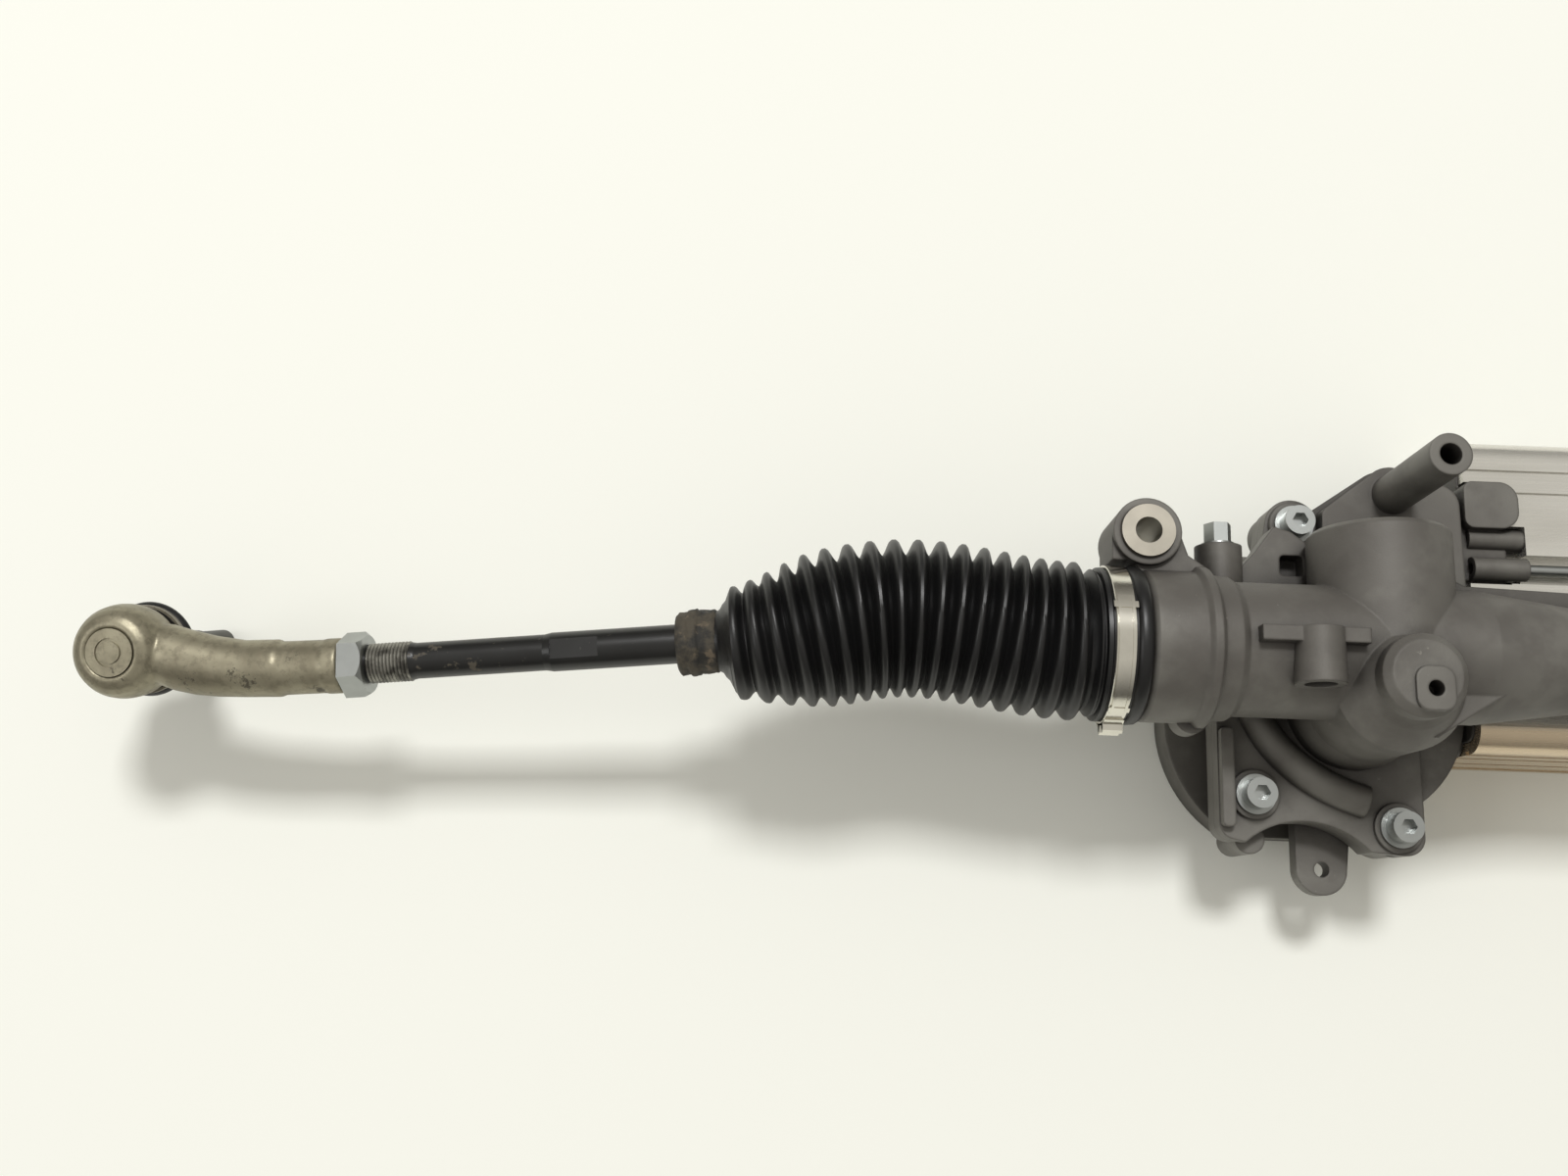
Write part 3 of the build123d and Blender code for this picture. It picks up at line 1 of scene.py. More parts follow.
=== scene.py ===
import json
import math
import bpy
import bmesh
from mathutils import Matrix, Vector, noise

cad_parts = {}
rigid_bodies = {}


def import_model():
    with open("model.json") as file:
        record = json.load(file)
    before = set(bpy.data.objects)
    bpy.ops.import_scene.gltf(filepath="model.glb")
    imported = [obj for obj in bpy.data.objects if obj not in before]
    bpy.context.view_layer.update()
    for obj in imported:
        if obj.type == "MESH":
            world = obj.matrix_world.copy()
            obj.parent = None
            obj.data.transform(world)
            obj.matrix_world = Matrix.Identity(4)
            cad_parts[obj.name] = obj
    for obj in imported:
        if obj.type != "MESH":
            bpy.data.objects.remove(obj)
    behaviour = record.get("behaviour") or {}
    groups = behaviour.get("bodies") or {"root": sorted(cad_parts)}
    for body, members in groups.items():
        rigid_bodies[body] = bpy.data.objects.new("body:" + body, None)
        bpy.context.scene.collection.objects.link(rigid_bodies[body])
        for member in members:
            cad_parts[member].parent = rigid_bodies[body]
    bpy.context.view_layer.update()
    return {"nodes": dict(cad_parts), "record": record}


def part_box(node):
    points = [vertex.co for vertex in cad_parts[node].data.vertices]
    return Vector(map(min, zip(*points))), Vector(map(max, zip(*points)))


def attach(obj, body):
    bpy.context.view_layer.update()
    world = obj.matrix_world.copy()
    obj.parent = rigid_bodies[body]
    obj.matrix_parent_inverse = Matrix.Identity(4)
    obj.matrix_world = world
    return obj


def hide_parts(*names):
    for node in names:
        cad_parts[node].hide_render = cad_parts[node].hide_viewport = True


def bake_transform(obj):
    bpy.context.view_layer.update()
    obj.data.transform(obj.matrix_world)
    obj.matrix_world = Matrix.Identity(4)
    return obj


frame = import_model()
record = frame["record"]
for item in bpy.context.scene.objects:
    item.select_set(False)
bpy.context.view_layer.objects.active = None
print("frame loaded:", len(frame["nodes"]), "nodes")


def mm(*values):
    return Vector([value / 1000 for value in values])


# the pinion's axis on the rack's axis, which the millimetres below are counted from
datum = Vector((98, -46, -12))


def rackPoint(x, y, z):
    return (datum + Vector((x, y, z))) / 1000


view = dict(place=(-245.77, -117.13, 588.74), tilt=13.0, roll=2.1, lens=33.75, sensor=36, nearest=10)


def setCamera():
    tilt = math.radians(view["tilt"])
    roll = math.radians(view["roll"])
    ahead = Vector((0, math.sin(tilt), -math.cos(tilt)))
    level = Vector((1, 0, 0))
    above = Vector((0, math.cos(tilt), math.sin(tilt)))
    right = math.cos(roll) * level + math.sin(roll) * above
    top = math.cos(roll) * above - math.sin(roll) * level
    turn = Matrix((right, top, -ahead)).transposed().to_4x4()
    lens = bpy.data.cameras.new("camera")
    lens.lens = view["lens"]
    lens.sensor_width = view["sensor"]
    lens.clip_start = view["nearest"] / 1000
    camera = bpy.data.objects.new("camera", lens)
    camera.matrix_world = Matrix.Translation(rackPoint(*view["place"])) @ turn
    bpy.context.scene.collection.objects.link(camera)
    bpy.context.scene.camera = camera


setCamera()
bpy.context.scene.view_settings.view_transform = "Standard"
print("camera set")


def tone(red, green, blue):
    # a colour as a screen shows it, turned into the shader's linear one
    def linear(value):
        value = value / 255
        return value / 12.92 if value <= 0.04045 else ((value + 0.055) / 1.055) ** 2.4
    return (linear(red), linear(green), linear(blue), 1)


class Value:
    # a shader socket that sums, products and comparisons can be written on
    def __init__(self, nodes, socket):
        self.nodes = nodes
        self.socket = socket

    def __add__(self, other):
        return self.nodes.math("ADD", self, other)

    def __rsub__(self, other):
        return self.nodes.math("SUBTRACT", other, self)

    def __mul__(self, other):
        return self.nodes.math("MULTIPLY", self, other)

    __radd__ = __add__
    __rmul__ = __mul__

    def above(self, edge, width):
        # 0 below edge, 1 above it, soft over width
        limits = {"Value": self, "From Min": edge - width / 2, "From Max": edge + width / 2}
        return self.nodes.add("ShaderNodeMapRange", dict(interpolation_type="SMOOTHSTEP"), limits, "Result")

    def below(self, edge, width):
        return 1 - self.above(edge, width)


class Nodes:
    # a node tree that grows by one call for each node
    def __init__(self, tree):
        self.tree = tree

    def plug(self, socket, value):
        if isinstance(value, Value):
            self.tree.links.new(value.socket, socket)
        else:
            socket.default_value = value

    def add(self, kind, settings, values, output):
        node = self.tree.nodes.new(kind)
        for name, setting in settings.items():
            if name == "stops":
                for element, (position, colour) in zip(node.color_ramp.elements, setting):
                    element.position = position
                    element.color = colour
            else:
                setattr(node, name, setting)
        for name, value in values.items():
            self.plug(node.inputs[name], value)
        return Value(self, node.outputs[output])

    def math(self, operation, first, second):
        return self.add("ShaderNodeMath", dict(operation=operation), {0: first, 1: second}, 0)

    def mix(self, share, first, second):
        # inputs 6 and 7 and output 2 are the Mix node's colours
        return self.add("ShaderNodeMix", dict(data_type="RGBA"), {0: share, 6: first, 7: second}, 2)


class Finish(Nodes):
    def __init__(self, name, rough, metal=0.0):
        self.material = bpy.data.materials.new(name)
        self.material.use_nodes = True
        super().__init__(self.material.node_tree)
        self.shader = self.tree.nodes["Principled BSDF"]
        self.put("Metallic", metal)
        self.put("Roughness", rough)
        self.place = self.add("ShaderNodeTexCoord", {}, {}, "Object")

    def put(self, socket, value):
        self.plug(self.shader.inputs[socket], value)

    def noise(self, scale, detail=4.0, rough=0.55, stretch=None):
        place = self.place
        if stretch:
            place = self.add("ShaderNodeMapping", {}, {"Vector": place, "Scale": stretch}, "Vector")
        sockets = {"Vector": place, "Scale": scale, "Detail": detail, "Roughness": rough}
        return self.add("ShaderNodeTexNoise", {}, sockets, "Fac")

    def corner(self, distance, samples):
        # 1 in the open, towards 0 where surfaces close in within the distance
        return self.add("ShaderNodeAmbientOcclusion", dict(samples=samples), {"Distance": distance}, "AO")

    def axis(self, letter):
        return self.add("ShaderNodeSeparateXYZ", {}, {"Vector": self.place}, letter)

    def bump(self, height, depth, strength, over=None):
        sockets = {"Height": height, "Distance": depth, "Strength": strength}
        if over:
            sockets["Normal"] = over
        self.put("Normal", self.add("ShaderNodeBump", {}, sockets, "Normal"))


casting = dict(coat=(116, 114, 108), dull=(98, 95, 90), rubbed=(150, 147, 138), smudged=(80, 76, 72),
               shadeAndGrime=(44, 41, 38), rough=0.52, metal=0.22, edge=0.0014, recess=0.022, grainDepth=0.00016)


def castAluminium():
    # sand-grained casting with a thin dark coat, smudged all over, with painted shade and grime darkening its
    # corners
    finish = Finish("castAluminium", casting["rough"], casting["metal"])
    broad = finish.noise(22, 3)
    grain = finish.noise(900, 5, 0.7)
    fine = finish.noise(2600, 2)
    base = finish.mix(broad.above(0.5, 0.4), tone(*casting["coat"]), tone(*casting["dull"]))
    smudge = finish.noise(34, 4, 0.6).above(0.52, 0.16) * 0.4
    base = finish.mix(smudge, base, tone(*casting["smudged"]))
    # painted shade: the coat darkens where surfaces close in, mottled by noise like grime
    recess = finish.corner(casting["recess"], 6)
    shadeAndGrime = recess.below(0.55, 0.75) * (0.6 + finish.noise(70, 4) * 0.8)
    base = finish.mix(shadeAndGrime, base, tone(*casting["shadeAndGrime"]))
    specks = finish.noise(300, 3, 0.6).above(0.72, 0.04) * finish.noise(30, 2).above(0.55, 0.1)
    base = finish.mix(specks * 0.4, base, tone(*casting["rubbed"]))
    finish.put("Base Color", base)
    finish.put("Roughness", 0.42 + broad * 0.14 + fine * 0.08)
    rounded = finish.add("ShaderNodeBevel", dict(samples=6), {"Radius": casting["edge"]}, "Normal")
    finish.bump(grain * 0.7 + fine * 0.3, casting["grainDepth"], 0.7, rounded)
    return finish.material


metal = dict(metal=1.0, patches=60, grain=1800, shade=0.82, spread=0.12, depth=0.00003)
plastic = dict(metal=0.0, patches=45, grain=1500, shade=0.8, spread=0.1, depth=0.00004)


def plainFinish(name, look, colour, rough):
    # soft patches of a darker shade and of another gloss, over a fine grain
    finish = Finish(name, rough, look["metal"])
    broad = finish.noise(look["patches"], 3)
    fine = finish.noise(look["grain"], 3)
    dark = tuple(part * look["shade"] for part in tone(*colour)[:3]) + (1,)
    finish.put("Base Color", finish.mix(broad.above(0.5, 0.6), tone(*colour), dark))
    finish.put("Roughness", rough - look["spread"] / 2 + broad * look["spread"])
    finish.bump(fine, look["depth"], 0.6)
    return finish.material


forging = dict(plate=(158, 152, 131), shaded=(134, 128, 109), handled=(112, 106, 90), stain=(70, 66, 58),
               rough=0.42, metal=0.72, depth=0.00025)


def forgedPlate():
    # yellow zinc on a forging, mottled by handling and stained dark in places
    finish = Finish("forgedPlate", forging["rough"], forging["metal"])
    broad = finish.noise(46, 4, 0.6)
    fine = finish.noise(260, 4, 0.7)
    pits = finish.noise(1500, 3)
    base = finish.mix(broad.above(0.5, 0.3), tone(*forging["plate"]), tone(*forging["shaded"]))
    base = finish.mix(fine.above(0.56, 0.16) * 0.45, base, tone(*forging["handled"]))
    stains = finish.noise(105, 5, 0.7).above(0.62, 0.06) * finish.noise(24, 2).above(0.5, 0.1)
    base = finish.mix(stains * 0.75, base, tone(*forging["stain"]))
    finish.put("Base Color", base)
    finish.put("Roughness", 0.36 + fine * 0.14 + stains * 0.15)
    finish.bump(broad * 0.5 + fine * 0.3 + pits * 0.2, forging["depth"], 0.6)
    return finish.material


greaseAndShade = dict(steel=(150, 148, 140), smeared=(92, 90, 85), root=(30, 30, 28), rough=0.35, metal=0.85,
              reach=0.0012)


def greasyThread():
    # bright crests, with black grease and painted shade in the roots
    finish = Finish("greasyThread", greaseAndShade["rough"], greaseAndShade["metal"])
    cover = finish.noise(160, 3).above(0.52, 0.2)
    base = finish.mix(cover, tone(*greaseAndShade["steel"]), tone(*greaseAndShade["smeared"]))
    # painted shade: the roots darken where the flanks close in
    root = finish.corner(greaseAndShade["reach"], 8).below(0.72, 0.5)
    finish.put("Base Color", finish.mix(root, base, tone(*greaseAndShade["root"])))
    finish.put("Roughness", 0.28 + finish.noise(300) * 0.2)
    return finish.material


dirt = dict(wet=(32, 31, 28), dry=(74, 68, 57), rust=(98, 87, 72), rough=0.8, depth=0.0006)


def roadDirt():
    # dried mud over rubber and a steel clip
    finish = Finish("roadDirt", dirt["rough"])
    broad = finish.noise(120, 4, 0.65)
    fine = finish.noise(700, 4, 0.7)
    base = finish.mix(broad.above(0.48, 0.25), tone(*dirt["wet"]), tone(*dirt["dry"]))
    base = finish.mix(finish.noise(190, 3).above(0.62, 0.1), base, tone(*dirt["rust"]))
    finish.put("Base Color", base)
    finish.put("Roughness", 0.6 + broad * 0.3)
    finish.bump(broad * 0.6 + fine * 0.4, dirt["depth"], 0.9)
    return finish.material


paint = dict(black=(15, 15, 15), faded=(23, 23, 22), scuffed=(84, 80, 72), bare=(74, 68, 58), rough=0.28,
             wornFrom=-0.262, wornOver=0.02, depth=0.0001)


def chippedPaint():
    # black paint on the rod, chipped to bare metal beside the thread
    finish = Finish("chippedPaint", paint["rough"])
    broad = finish.noise(50, 3)
    chips = finish.noise(130, 5, 0.65)
    worn = finish.axis("X").below(paint["wornFrom"], paint["wornOver"]) * chips.above(0.62, 0.04)
    scuffs = finish.noise(240, 4, 0.7).above(0.68, 0.03)
    base = finish.mix(broad.above(0.5, 0.5), tone(*paint["black"]), tone(*paint["faded"]))
    base = finish.mix(scuffs * 0.45, base, tone(*paint["scuffed"]))
    base = finish.mix(worn, base, tone(*paint["bare"]))
    finish.put("Base Color", base)
    finish.put("Roughness", 0.26 + broad * 0.1 + worn * 0.35)
    finish.bump(chips * 0.4 + finish.noise(1200) * 0.2, paint["depth"], 0.6)
    return finish.material


extrusion = dict(bright=(228, 226, 219), shaded=(198, 195, 187), reflectedBrown=(214, 184, 138), rough=0.24, metal=0.72,
                 reflectionBelow=-0.0685, reflectionOver=0.006, depth=0.00003)


def extrudedAluminium():
    # drawn lines along the extrusion, and a painted reflection of warm surroundings as a tint down its near
    # flank
    finish = Finish("extrudedAluminium", extrusion["rough"], extrusion["metal"])
    lines = finish.noise(900, 4, 0.6, stretch=(0.02, 1, 1))
    broad = finish.noise(30, 2, stretch=(0.2, 1, 1))
    base = finish.mix(broad.above(0.5, 0.6), tone(*extrusion["bright"]), tone(*extrusion["shaded"]))
    # painted reflection: the lower near flank takes a warm tint
    paintedReflection = finish.axis("Y").below(extrusion["reflectionBelow"], extrusion["reflectionOver"])
    base = finish.mix(paintedReflection * 0.6, base, tone(*extrusion["reflectedBrown"]))
    finish.put("Base Color", base)
    finish.put("Roughness", 0.2 + lines * 0.14)
    finish.bump(lines, extrusion["depth"], 0.5)
    return finish.material


finishes = {
    "cast_housing": castAluminium(),
    "motor_extrusion": extrudedAluminium(),
    "zinc_steel": plainFinish("zincPlate", metal, (172, 175, 173), 0.36),
    "bright_steel": plainFinish("groundSteel", metal, (154, 149, 138), 0.44),
    "rod_paint": chippedPaint(),
    "forged_end": forgedPlate(),
    "bellows_rubber": plainFinish("bellowsRubber", plastic, (13, 13, 14), 0.4),
    "clamp_steel": plainFinish("clampStrip", metal, (226, 223, 212), 0.16),
    "rusty_clip": roadDirt(),
    "bearing_steel": plainFinish("bearingSteel", metal, (190, 190, 186), 0.22),
    "liner_plastic": plainFinish("acetal", plastic, (212, 206, 188), 0.4),
    "wheel_plastic": plainFinish("polyamide", plastic, (196, 180, 146), 0.42),
    "connector_plastic": plainFinish("connectorPlastic", plastic, (30, 30, 31), 0.46),
    "board": plainFinish("boardLaminate", plastic, (22, 84, 48), 0.4),
    "stator_iron": plainFinish("laminations", metal, (110, 108, 104), 0.5),
    "sensor_case": plainFinish("sensorCase", plastic, (36, 36, 37), 0.48),
}
threadFinish = greasyThread()
studFinish = plainFinish("darkSteel", metal, (92, 92, 88), 0.44)
for part in record["subparts"]:
    node = frame["nodes"][part["node"]]
    node.data.materials.clear()
    node.data.materials.append(finishes[part["material_slot"]])
for side in ("left", "right"):
    frame["nodes"][side + "_ball_stud"].data.materials[0] = studFinish
print("finishes given to", len(record["subparts"]), "nodes")


turned = -1  # without a window, transform.rotate turns the other way
weld = 0.00001
# the left and right ends of the rack with its sockets, and the middle that the sides mirror about
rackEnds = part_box("left_inner_socket")[0][0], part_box("right_inner_socket")[1][0]
rackMiddle = sum(rackEnds) / 2 * 1000 - datum[0]


def select(piece):
    bpy.ops.object.select_all(action="DESELECT")
    piece.select_set(True)
    bpy.context.view_layer.objects.active = piece


def editRing(name, sides, radius, place):
    # a ring that faces along the rack, left in edit mode
    facing = (0, math.pi / 2, 0)
    bpy.ops.mesh.primitive_circle_add(vertices=sides, radius=radius, location=place, rotation=facing)
    piece = bpy.context.object
    piece.name = piece.data.name = name
    bpy.ops.object.transform_apply(location=True, rotation=True, scale=True)
    bpy.ops.object.mode_set(mode="EDIT")
    bpy.ops.mesh.select_all(action="SELECT")
    return piece


def closePiece(piece, slot, angle=40):
    # back to object mode, welded, normals outwards, smooth below the angle
    if bpy.context.object.mode == "EDIT":
        bpy.ops.mesh.select_all(action="SELECT")
        bpy.ops.mesh.remove_doubles(threshold=weld)
        bpy.ops.mesh.normals_make_consistent(inside=False)
        bpy.ops.object.mode_set(mode="OBJECT")
    piece.data.materials.clear()
    piece.data.materials.append(finishes[slot])
    bpy.ops.object.shade_smooth_by_angle(angle=math.radians(angle))
    piece.select_set(False)
    return piece


def turnRing(angle, axis, centre):
    if abs(angle) > 1e-6:
        bpy.ops.transform.rotate(value=turned * angle, orient_axis=axis, center_override=centre)


def ringChain(name, rings, sides):
    # rings of (centre, radius, lean about Z, droop about Y) that are extruded one from the next;
    # the chain ends where it began, so that the wall has both its faces
    centre, radius, lean, droop = rings[0]
    piece = editRing(name, sides, radius, centre)
    turnRing(lean, "Z", centre)
    turnRing(droop, "Y", centre)
    for last, ring in zip(rings, rings[1:] + rings[:1]):
        centre = ring[0]
        bpy.ops.mesh.extrude_region_move(TRANSFORM_OT_translate=dict(value=centre - last[0]))
        bpy.ops.transform.resize(value=(ring[1] / last[1],) * 3, center_override=centre)
        turnRing(ring[2] - last[2], "Z", centre)
        turnRing(ring[3] - last[3], "Y", centre)
    return piece


def plainRing(x, y, z, radius, lean=0.0, droop=0.0):
    return (rackPoint(x, y, z), radius / 1000, lean, droop)


def useModifier(piece, kind, **settings):
    bpy.context.view_layer.objects.active = piece
    modifier = piece.modifiers.new(kind.title(), kind)
    for name, value in settings.items():
        setattr(modifier, name, value)
    bpy.ops.object.modifier_apply(modifier=modifier.name)


def flipped(point):
    return Vector((2 * rackPoint(rackMiddle, 0, 0)[0] - point[0], point[1], point[2]))


def mirrorAcross(piece, name):
    # the other side's copy, turned over about the middle of the rack
    select(piece)
    bpy.ops.object.duplicate()
    other = bpy.context.object
    other.name = other.data.name = name
    bpy.ops.object.mode_set(mode="EDIT")
    bpy.ops.mesh.select_all(action="SELECT")
    bpy.ops.transform.resize(value=(-1, 1, 1), center_override=rackPoint(rackMiddle, 0, 0))
    bpy.ops.mesh.normals_make_consistent(inside=False)
    bpy.ops.object.mode_set(mode="OBJECT")
    other.select_set(False)
    return other


def placeBoth(piece, name, bodies, spots=(), replaced=None):
    # the left piece and its mirrored copy ride on one body; given spots, both stay where they are, on no body
    other = mirrorAcross(piece, name)
    for item, side, place in ((piece, "left", Vector), (other, "right", flipped)):
        named = [body.replace("side", side) for body in bodies]
        if spots:
            [place(spot) for spot in spots]
            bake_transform(item)
        else:
            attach(item, *named)
        if replaced:
            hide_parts(side + replaced)


# the left tie rod's line, from its inner ball on the rack's axis
rod = dict(ball=-228.0, yaw=math.radians(4.9), droop=math.radians(5.1))


def rodPoint(distance):
    flat = math.cos(rod["droop"])
    ahead = Vector((-math.cos(rod["yaw"]) * flat, -math.sin(rod["yaw"]) * flat, -math.sin(rod["droop"])))
    return Vector((rod["ball"], 0, 0)) + ahead * distance


def rodRing(distance, radius):
    return plainRing(*rodPoint(distance), radius, rod["yaw"], -rod["droop"])


bellows = dict(
    # pleats are counted from the small end; the seams part the bellows into pieces, one for each stretch that
    # moves with a different joint
    first=-263.2, spacing=7.92, pleats=(17.5, -0.5), seams=(4.5, 2.5),
    small=23.4, big=32.3, grown=5.0, grownAtStart=0.14, smallUntil=0.6,
    crown=(-193.0, 8.0), left=(75.0, -4.4), right=(66.0, 1.0), leanShare=0.82, bendFrom=12.0, bendOver=45.0,
    shallow=3.9, firstDepth=2.6, deepening=0.9, deepest=5.2, wall=1.0, insideHeight=0.97, sides=72,
    # where the bellows stand still on the housing, and on the rod
    fixed=-117.0, held=41.0)
pleatOutside = [(-0.5, 0.0), (-0.44, 0.08), (-0.35, 0.3), (-0.26, 0.6), (-0.17, 0.87), (-0.07, 1.0),
                (0.07, 1.0), (0.17, 0.87), (0.26, 0.6), (0.35, 0.3), (0.44, 0.08)]
pleatInside = [(0.5, 0.0), (0.34, 0.15), (0.2, 0.6), (0.1, 0.8), (-0.1, 0.8), (-0.2, 0.6), (-0.34, 0.15)]
neckRings = [(-101.4, 30.6), (-101.7, 31.5), (-102.7, 32.2), (-105.6, 32.4), (-106.6, 31.9), (-107.4, 31.1),
             (-116.9, 31.05), (-117.4, 31.5), (-119.0, 31.3), (-119.5, 29.2), (-120.2, 28.9), (-120.7, 30.0),
             (-121.4, 30.1), (-122.2, 28.9), (-123.2, 27.9)]
neckInside = [(-121.2, 27.6), (-120.2, 28.8), (-101.4, 28.8)]
neckRise = dict(start=-119.0, over=4.0, height=0.9)
capRings = [(38.6, 19.8), (40.0, 16.6), (41.4, 15.2), (42.6, 13.2), (44.0, 12.4), (57.6, 12.1), (59.4, 11.6),
            (59.9, 10.8)]
cuffInside = [(59.9, 8.6), (44.0, 8.6), (42.0, 11.5), (40.2, 14.5), (38.4, 17.0)]


def clamped(value):
    return max(0.0, min(1.0, value))


def smoothStep(value):
    value = clamped(value)
    return value * value * (3 - 2 * value)


def bellowsLine(count):
    # centre, crest radius, lean and droop of the bellows at a count of pleats
    x = bellows["first"] + bellows["spacing"] * count
    crownX, crownY = bellows["crown"]
    reach, endY = bellows["left"] if x < crownX else bellows["right"]
    turn = max(-math.pi, min(math.pi, math.pi * (x - crownX) / reach))
    y = endY + (crownY - endY) * (0.5 + 0.5 * math.cos(turn))
    slope = -(crownY - endY) * 0.5 * math.pi / reach * math.sin(turn)
    outward = clamped((rod["ball"] + bellows["bendFrom"] - x) / bellows["bendOver"])
    lean = bellows["leanShare"] * math.atan(slope) + rod["yaw"] * outward
    droop = rod["droop"] * outward
    z = -max(0.0, rod["ball"] - x) * math.tan(rod["droop"])
    start = bellows["grownAtStart"]
    grown = smoothStep(start + count / bellows["grown"] * (1 - start))
    radius = bellows["small"] + (bellows["big"] - bellows["small"]) * grown
    if count < bellows["smallUntil"]:
        radius = bellows["small"]
    return Vector((x, y, z)), radius, lean, droop


def pleatRing(count, height, inward=0.0):
    # the furrows sit a little lower than the crests, so they are shallow below and deep above
    centre, radius, lean, droop = bellowsLine(count)
    depth = min(bellows["deepest"], bellows["firstDepth"] + count * bellows["deepening"])
    sunk = (1 - height) * max(0.0, depth - bellows["shallow"])
    across = Vector((-math.sin(lean), math.cos(lean), 0))
    radius -= depth * (1 - height) + inward
    return plainRing(*(centre - across * sunk), radius, lean, -droop)


def pleatRun(first, last):
    # rings of the outside from pleat first down to last, both of them furrows, and of the inside back up
    outside, inside = [], []
    wall, height = bellows["wall"], bellows["insideHeight"]
    for pleat in range(math.floor(first), math.floor(last), -1):
        outside += [pleatRing(pleat - shift, rise) for shift, rise in pleatOutside]
        inside = [pleatRing(pleat - shift, rise * height, wall) for shift, rise in pleatInside] + inside
    return outside + [pleatRing(last, 0.0)], inside + [pleatRing(first, 0.0, wall)]


def neckRing(x, radius):
    rise = neckRise["height"] * clamped((neckRise["start"] - x) / neckRise["over"])
    return plainRing(x, rise, 0, radius)


def makeBellows():
    sides, slot = bellows["sides"], "bellows_rubber"
    wideEnd, smallEnd = bellows["pleats"]
    wide, narrow = bellows["seams"]
    start, end = (pleatRing(count, 0.0)[0] for count in (wide, narrow))
    outside, inside = pleatRun(wideEnd, wide)
    neck, neckBack = ([neckRing(*ring) for ring in rings] for rings in (neckRings, neckInside))
    rings = neck + outside + inside + neckBack
    sleeve = closePiece(ringChain("leftBellows", rings, sides), slot)
    spots = (rackPoint(bellows["fixed"], 0, 0), rackPoint(bellowsLine(wide)[0][0], 0, 0))
    placeBoth(sleeve, "rightBellows", ("housing", "rack"), spots, "_bellows")
    outside, inside = pleatRun(wide, narrow)
    fold = closePiece(ringChain("leftBellowsFold", outside + inside, sides), slot)
    placeBoth(fold, "rightBellowsFold", ("rack", "side_inner_gimbal"), (start, end))
    # the last pleat's outer flank gives way to the cap
    outside, inside = pleatRun(narrow, smallEnd)
    rings = outside[:-4] + [rodRing(*ring) for ring in capRings + cuffInside] + inside[1:]
    tail = closePiece(ringChain("leftBellowsEnd", rings, sides), slot)
    spots = (end, rackPoint(*rodPoint(bellows["held"])))
    placeBoth(tail, "rightBellowsEnd", ("side_inner_gimbal", "side_tie_rod_assembly"), spots)
    print("bellows made")


makeBellows()


rodEnd = dict(nut=201.0, axis=(-0.0670848, -0.2315274, 0.9705126), ball=(-521.5, -13.43, -23.49), voxel=0.7,
              sides=48, headSides=64, smoothing=4)
# the arm's rings: distance from the nut, shift towards the ball, half width and half height
armRings = [(0.0, 0.0, 11.0, 11.0), (1.2, 0.0, 11.6, 11.6), (7.0, 0.1, 11.6, 11.6), (7.8, 0.1, 11.2, 11.2),
            (26.0, 0.5, 11.3, 11.2), (27.4, 0.6, 12.1, 11.6), (42.0, 1.3, 12.0, 11.8),
            (54.0, 3.0, 12.8, 12.0), (64.0, 5.2, 13.6, 12.2), (73.0, 8.0, 14.0, 12.0),
            (83.0, 11.0, 12.6, 11.2)]
# the head's radius and height over the ball, from the end cap's seat round to the boot's spigot and its mouth
headProfile = [(10.1, 12.9), (10.3, 15.2), (12.4, 15.1), (15.4, 13.7), (17.6, 11.2), (19.2, 7.6), (20.0, 2.6),
               (19.9, -2.5), (19.1, -6.8), (17.7, -10.2), (16.6, -12.1), (15.9, -12.6), (15.9, -16.9),
               (13.3, -16.9), (13.3, -9.0)]


def rodEndAxes():
    # along the rod, across it, and up the outer ball's axis
    ahead = (rackPoint(*rodPoint(1)) - rackPoint(*rodPoint(0))).normalized()
    up = Vector(rodEnd["axis"])
    up = (up - ahead * up.dot(ahead)).normalized()
    return ahead, up.cross(ahead), up


def closeSolid():
    bpy.ops.mesh.select_all(action="SELECT")
    bpy.ops.mesh.fill_holes(sides=0)
    bpy.ops.mesh.normals_make_consistent(inside=False)
    bpy.ops.object.mode_set(mode="OBJECT")


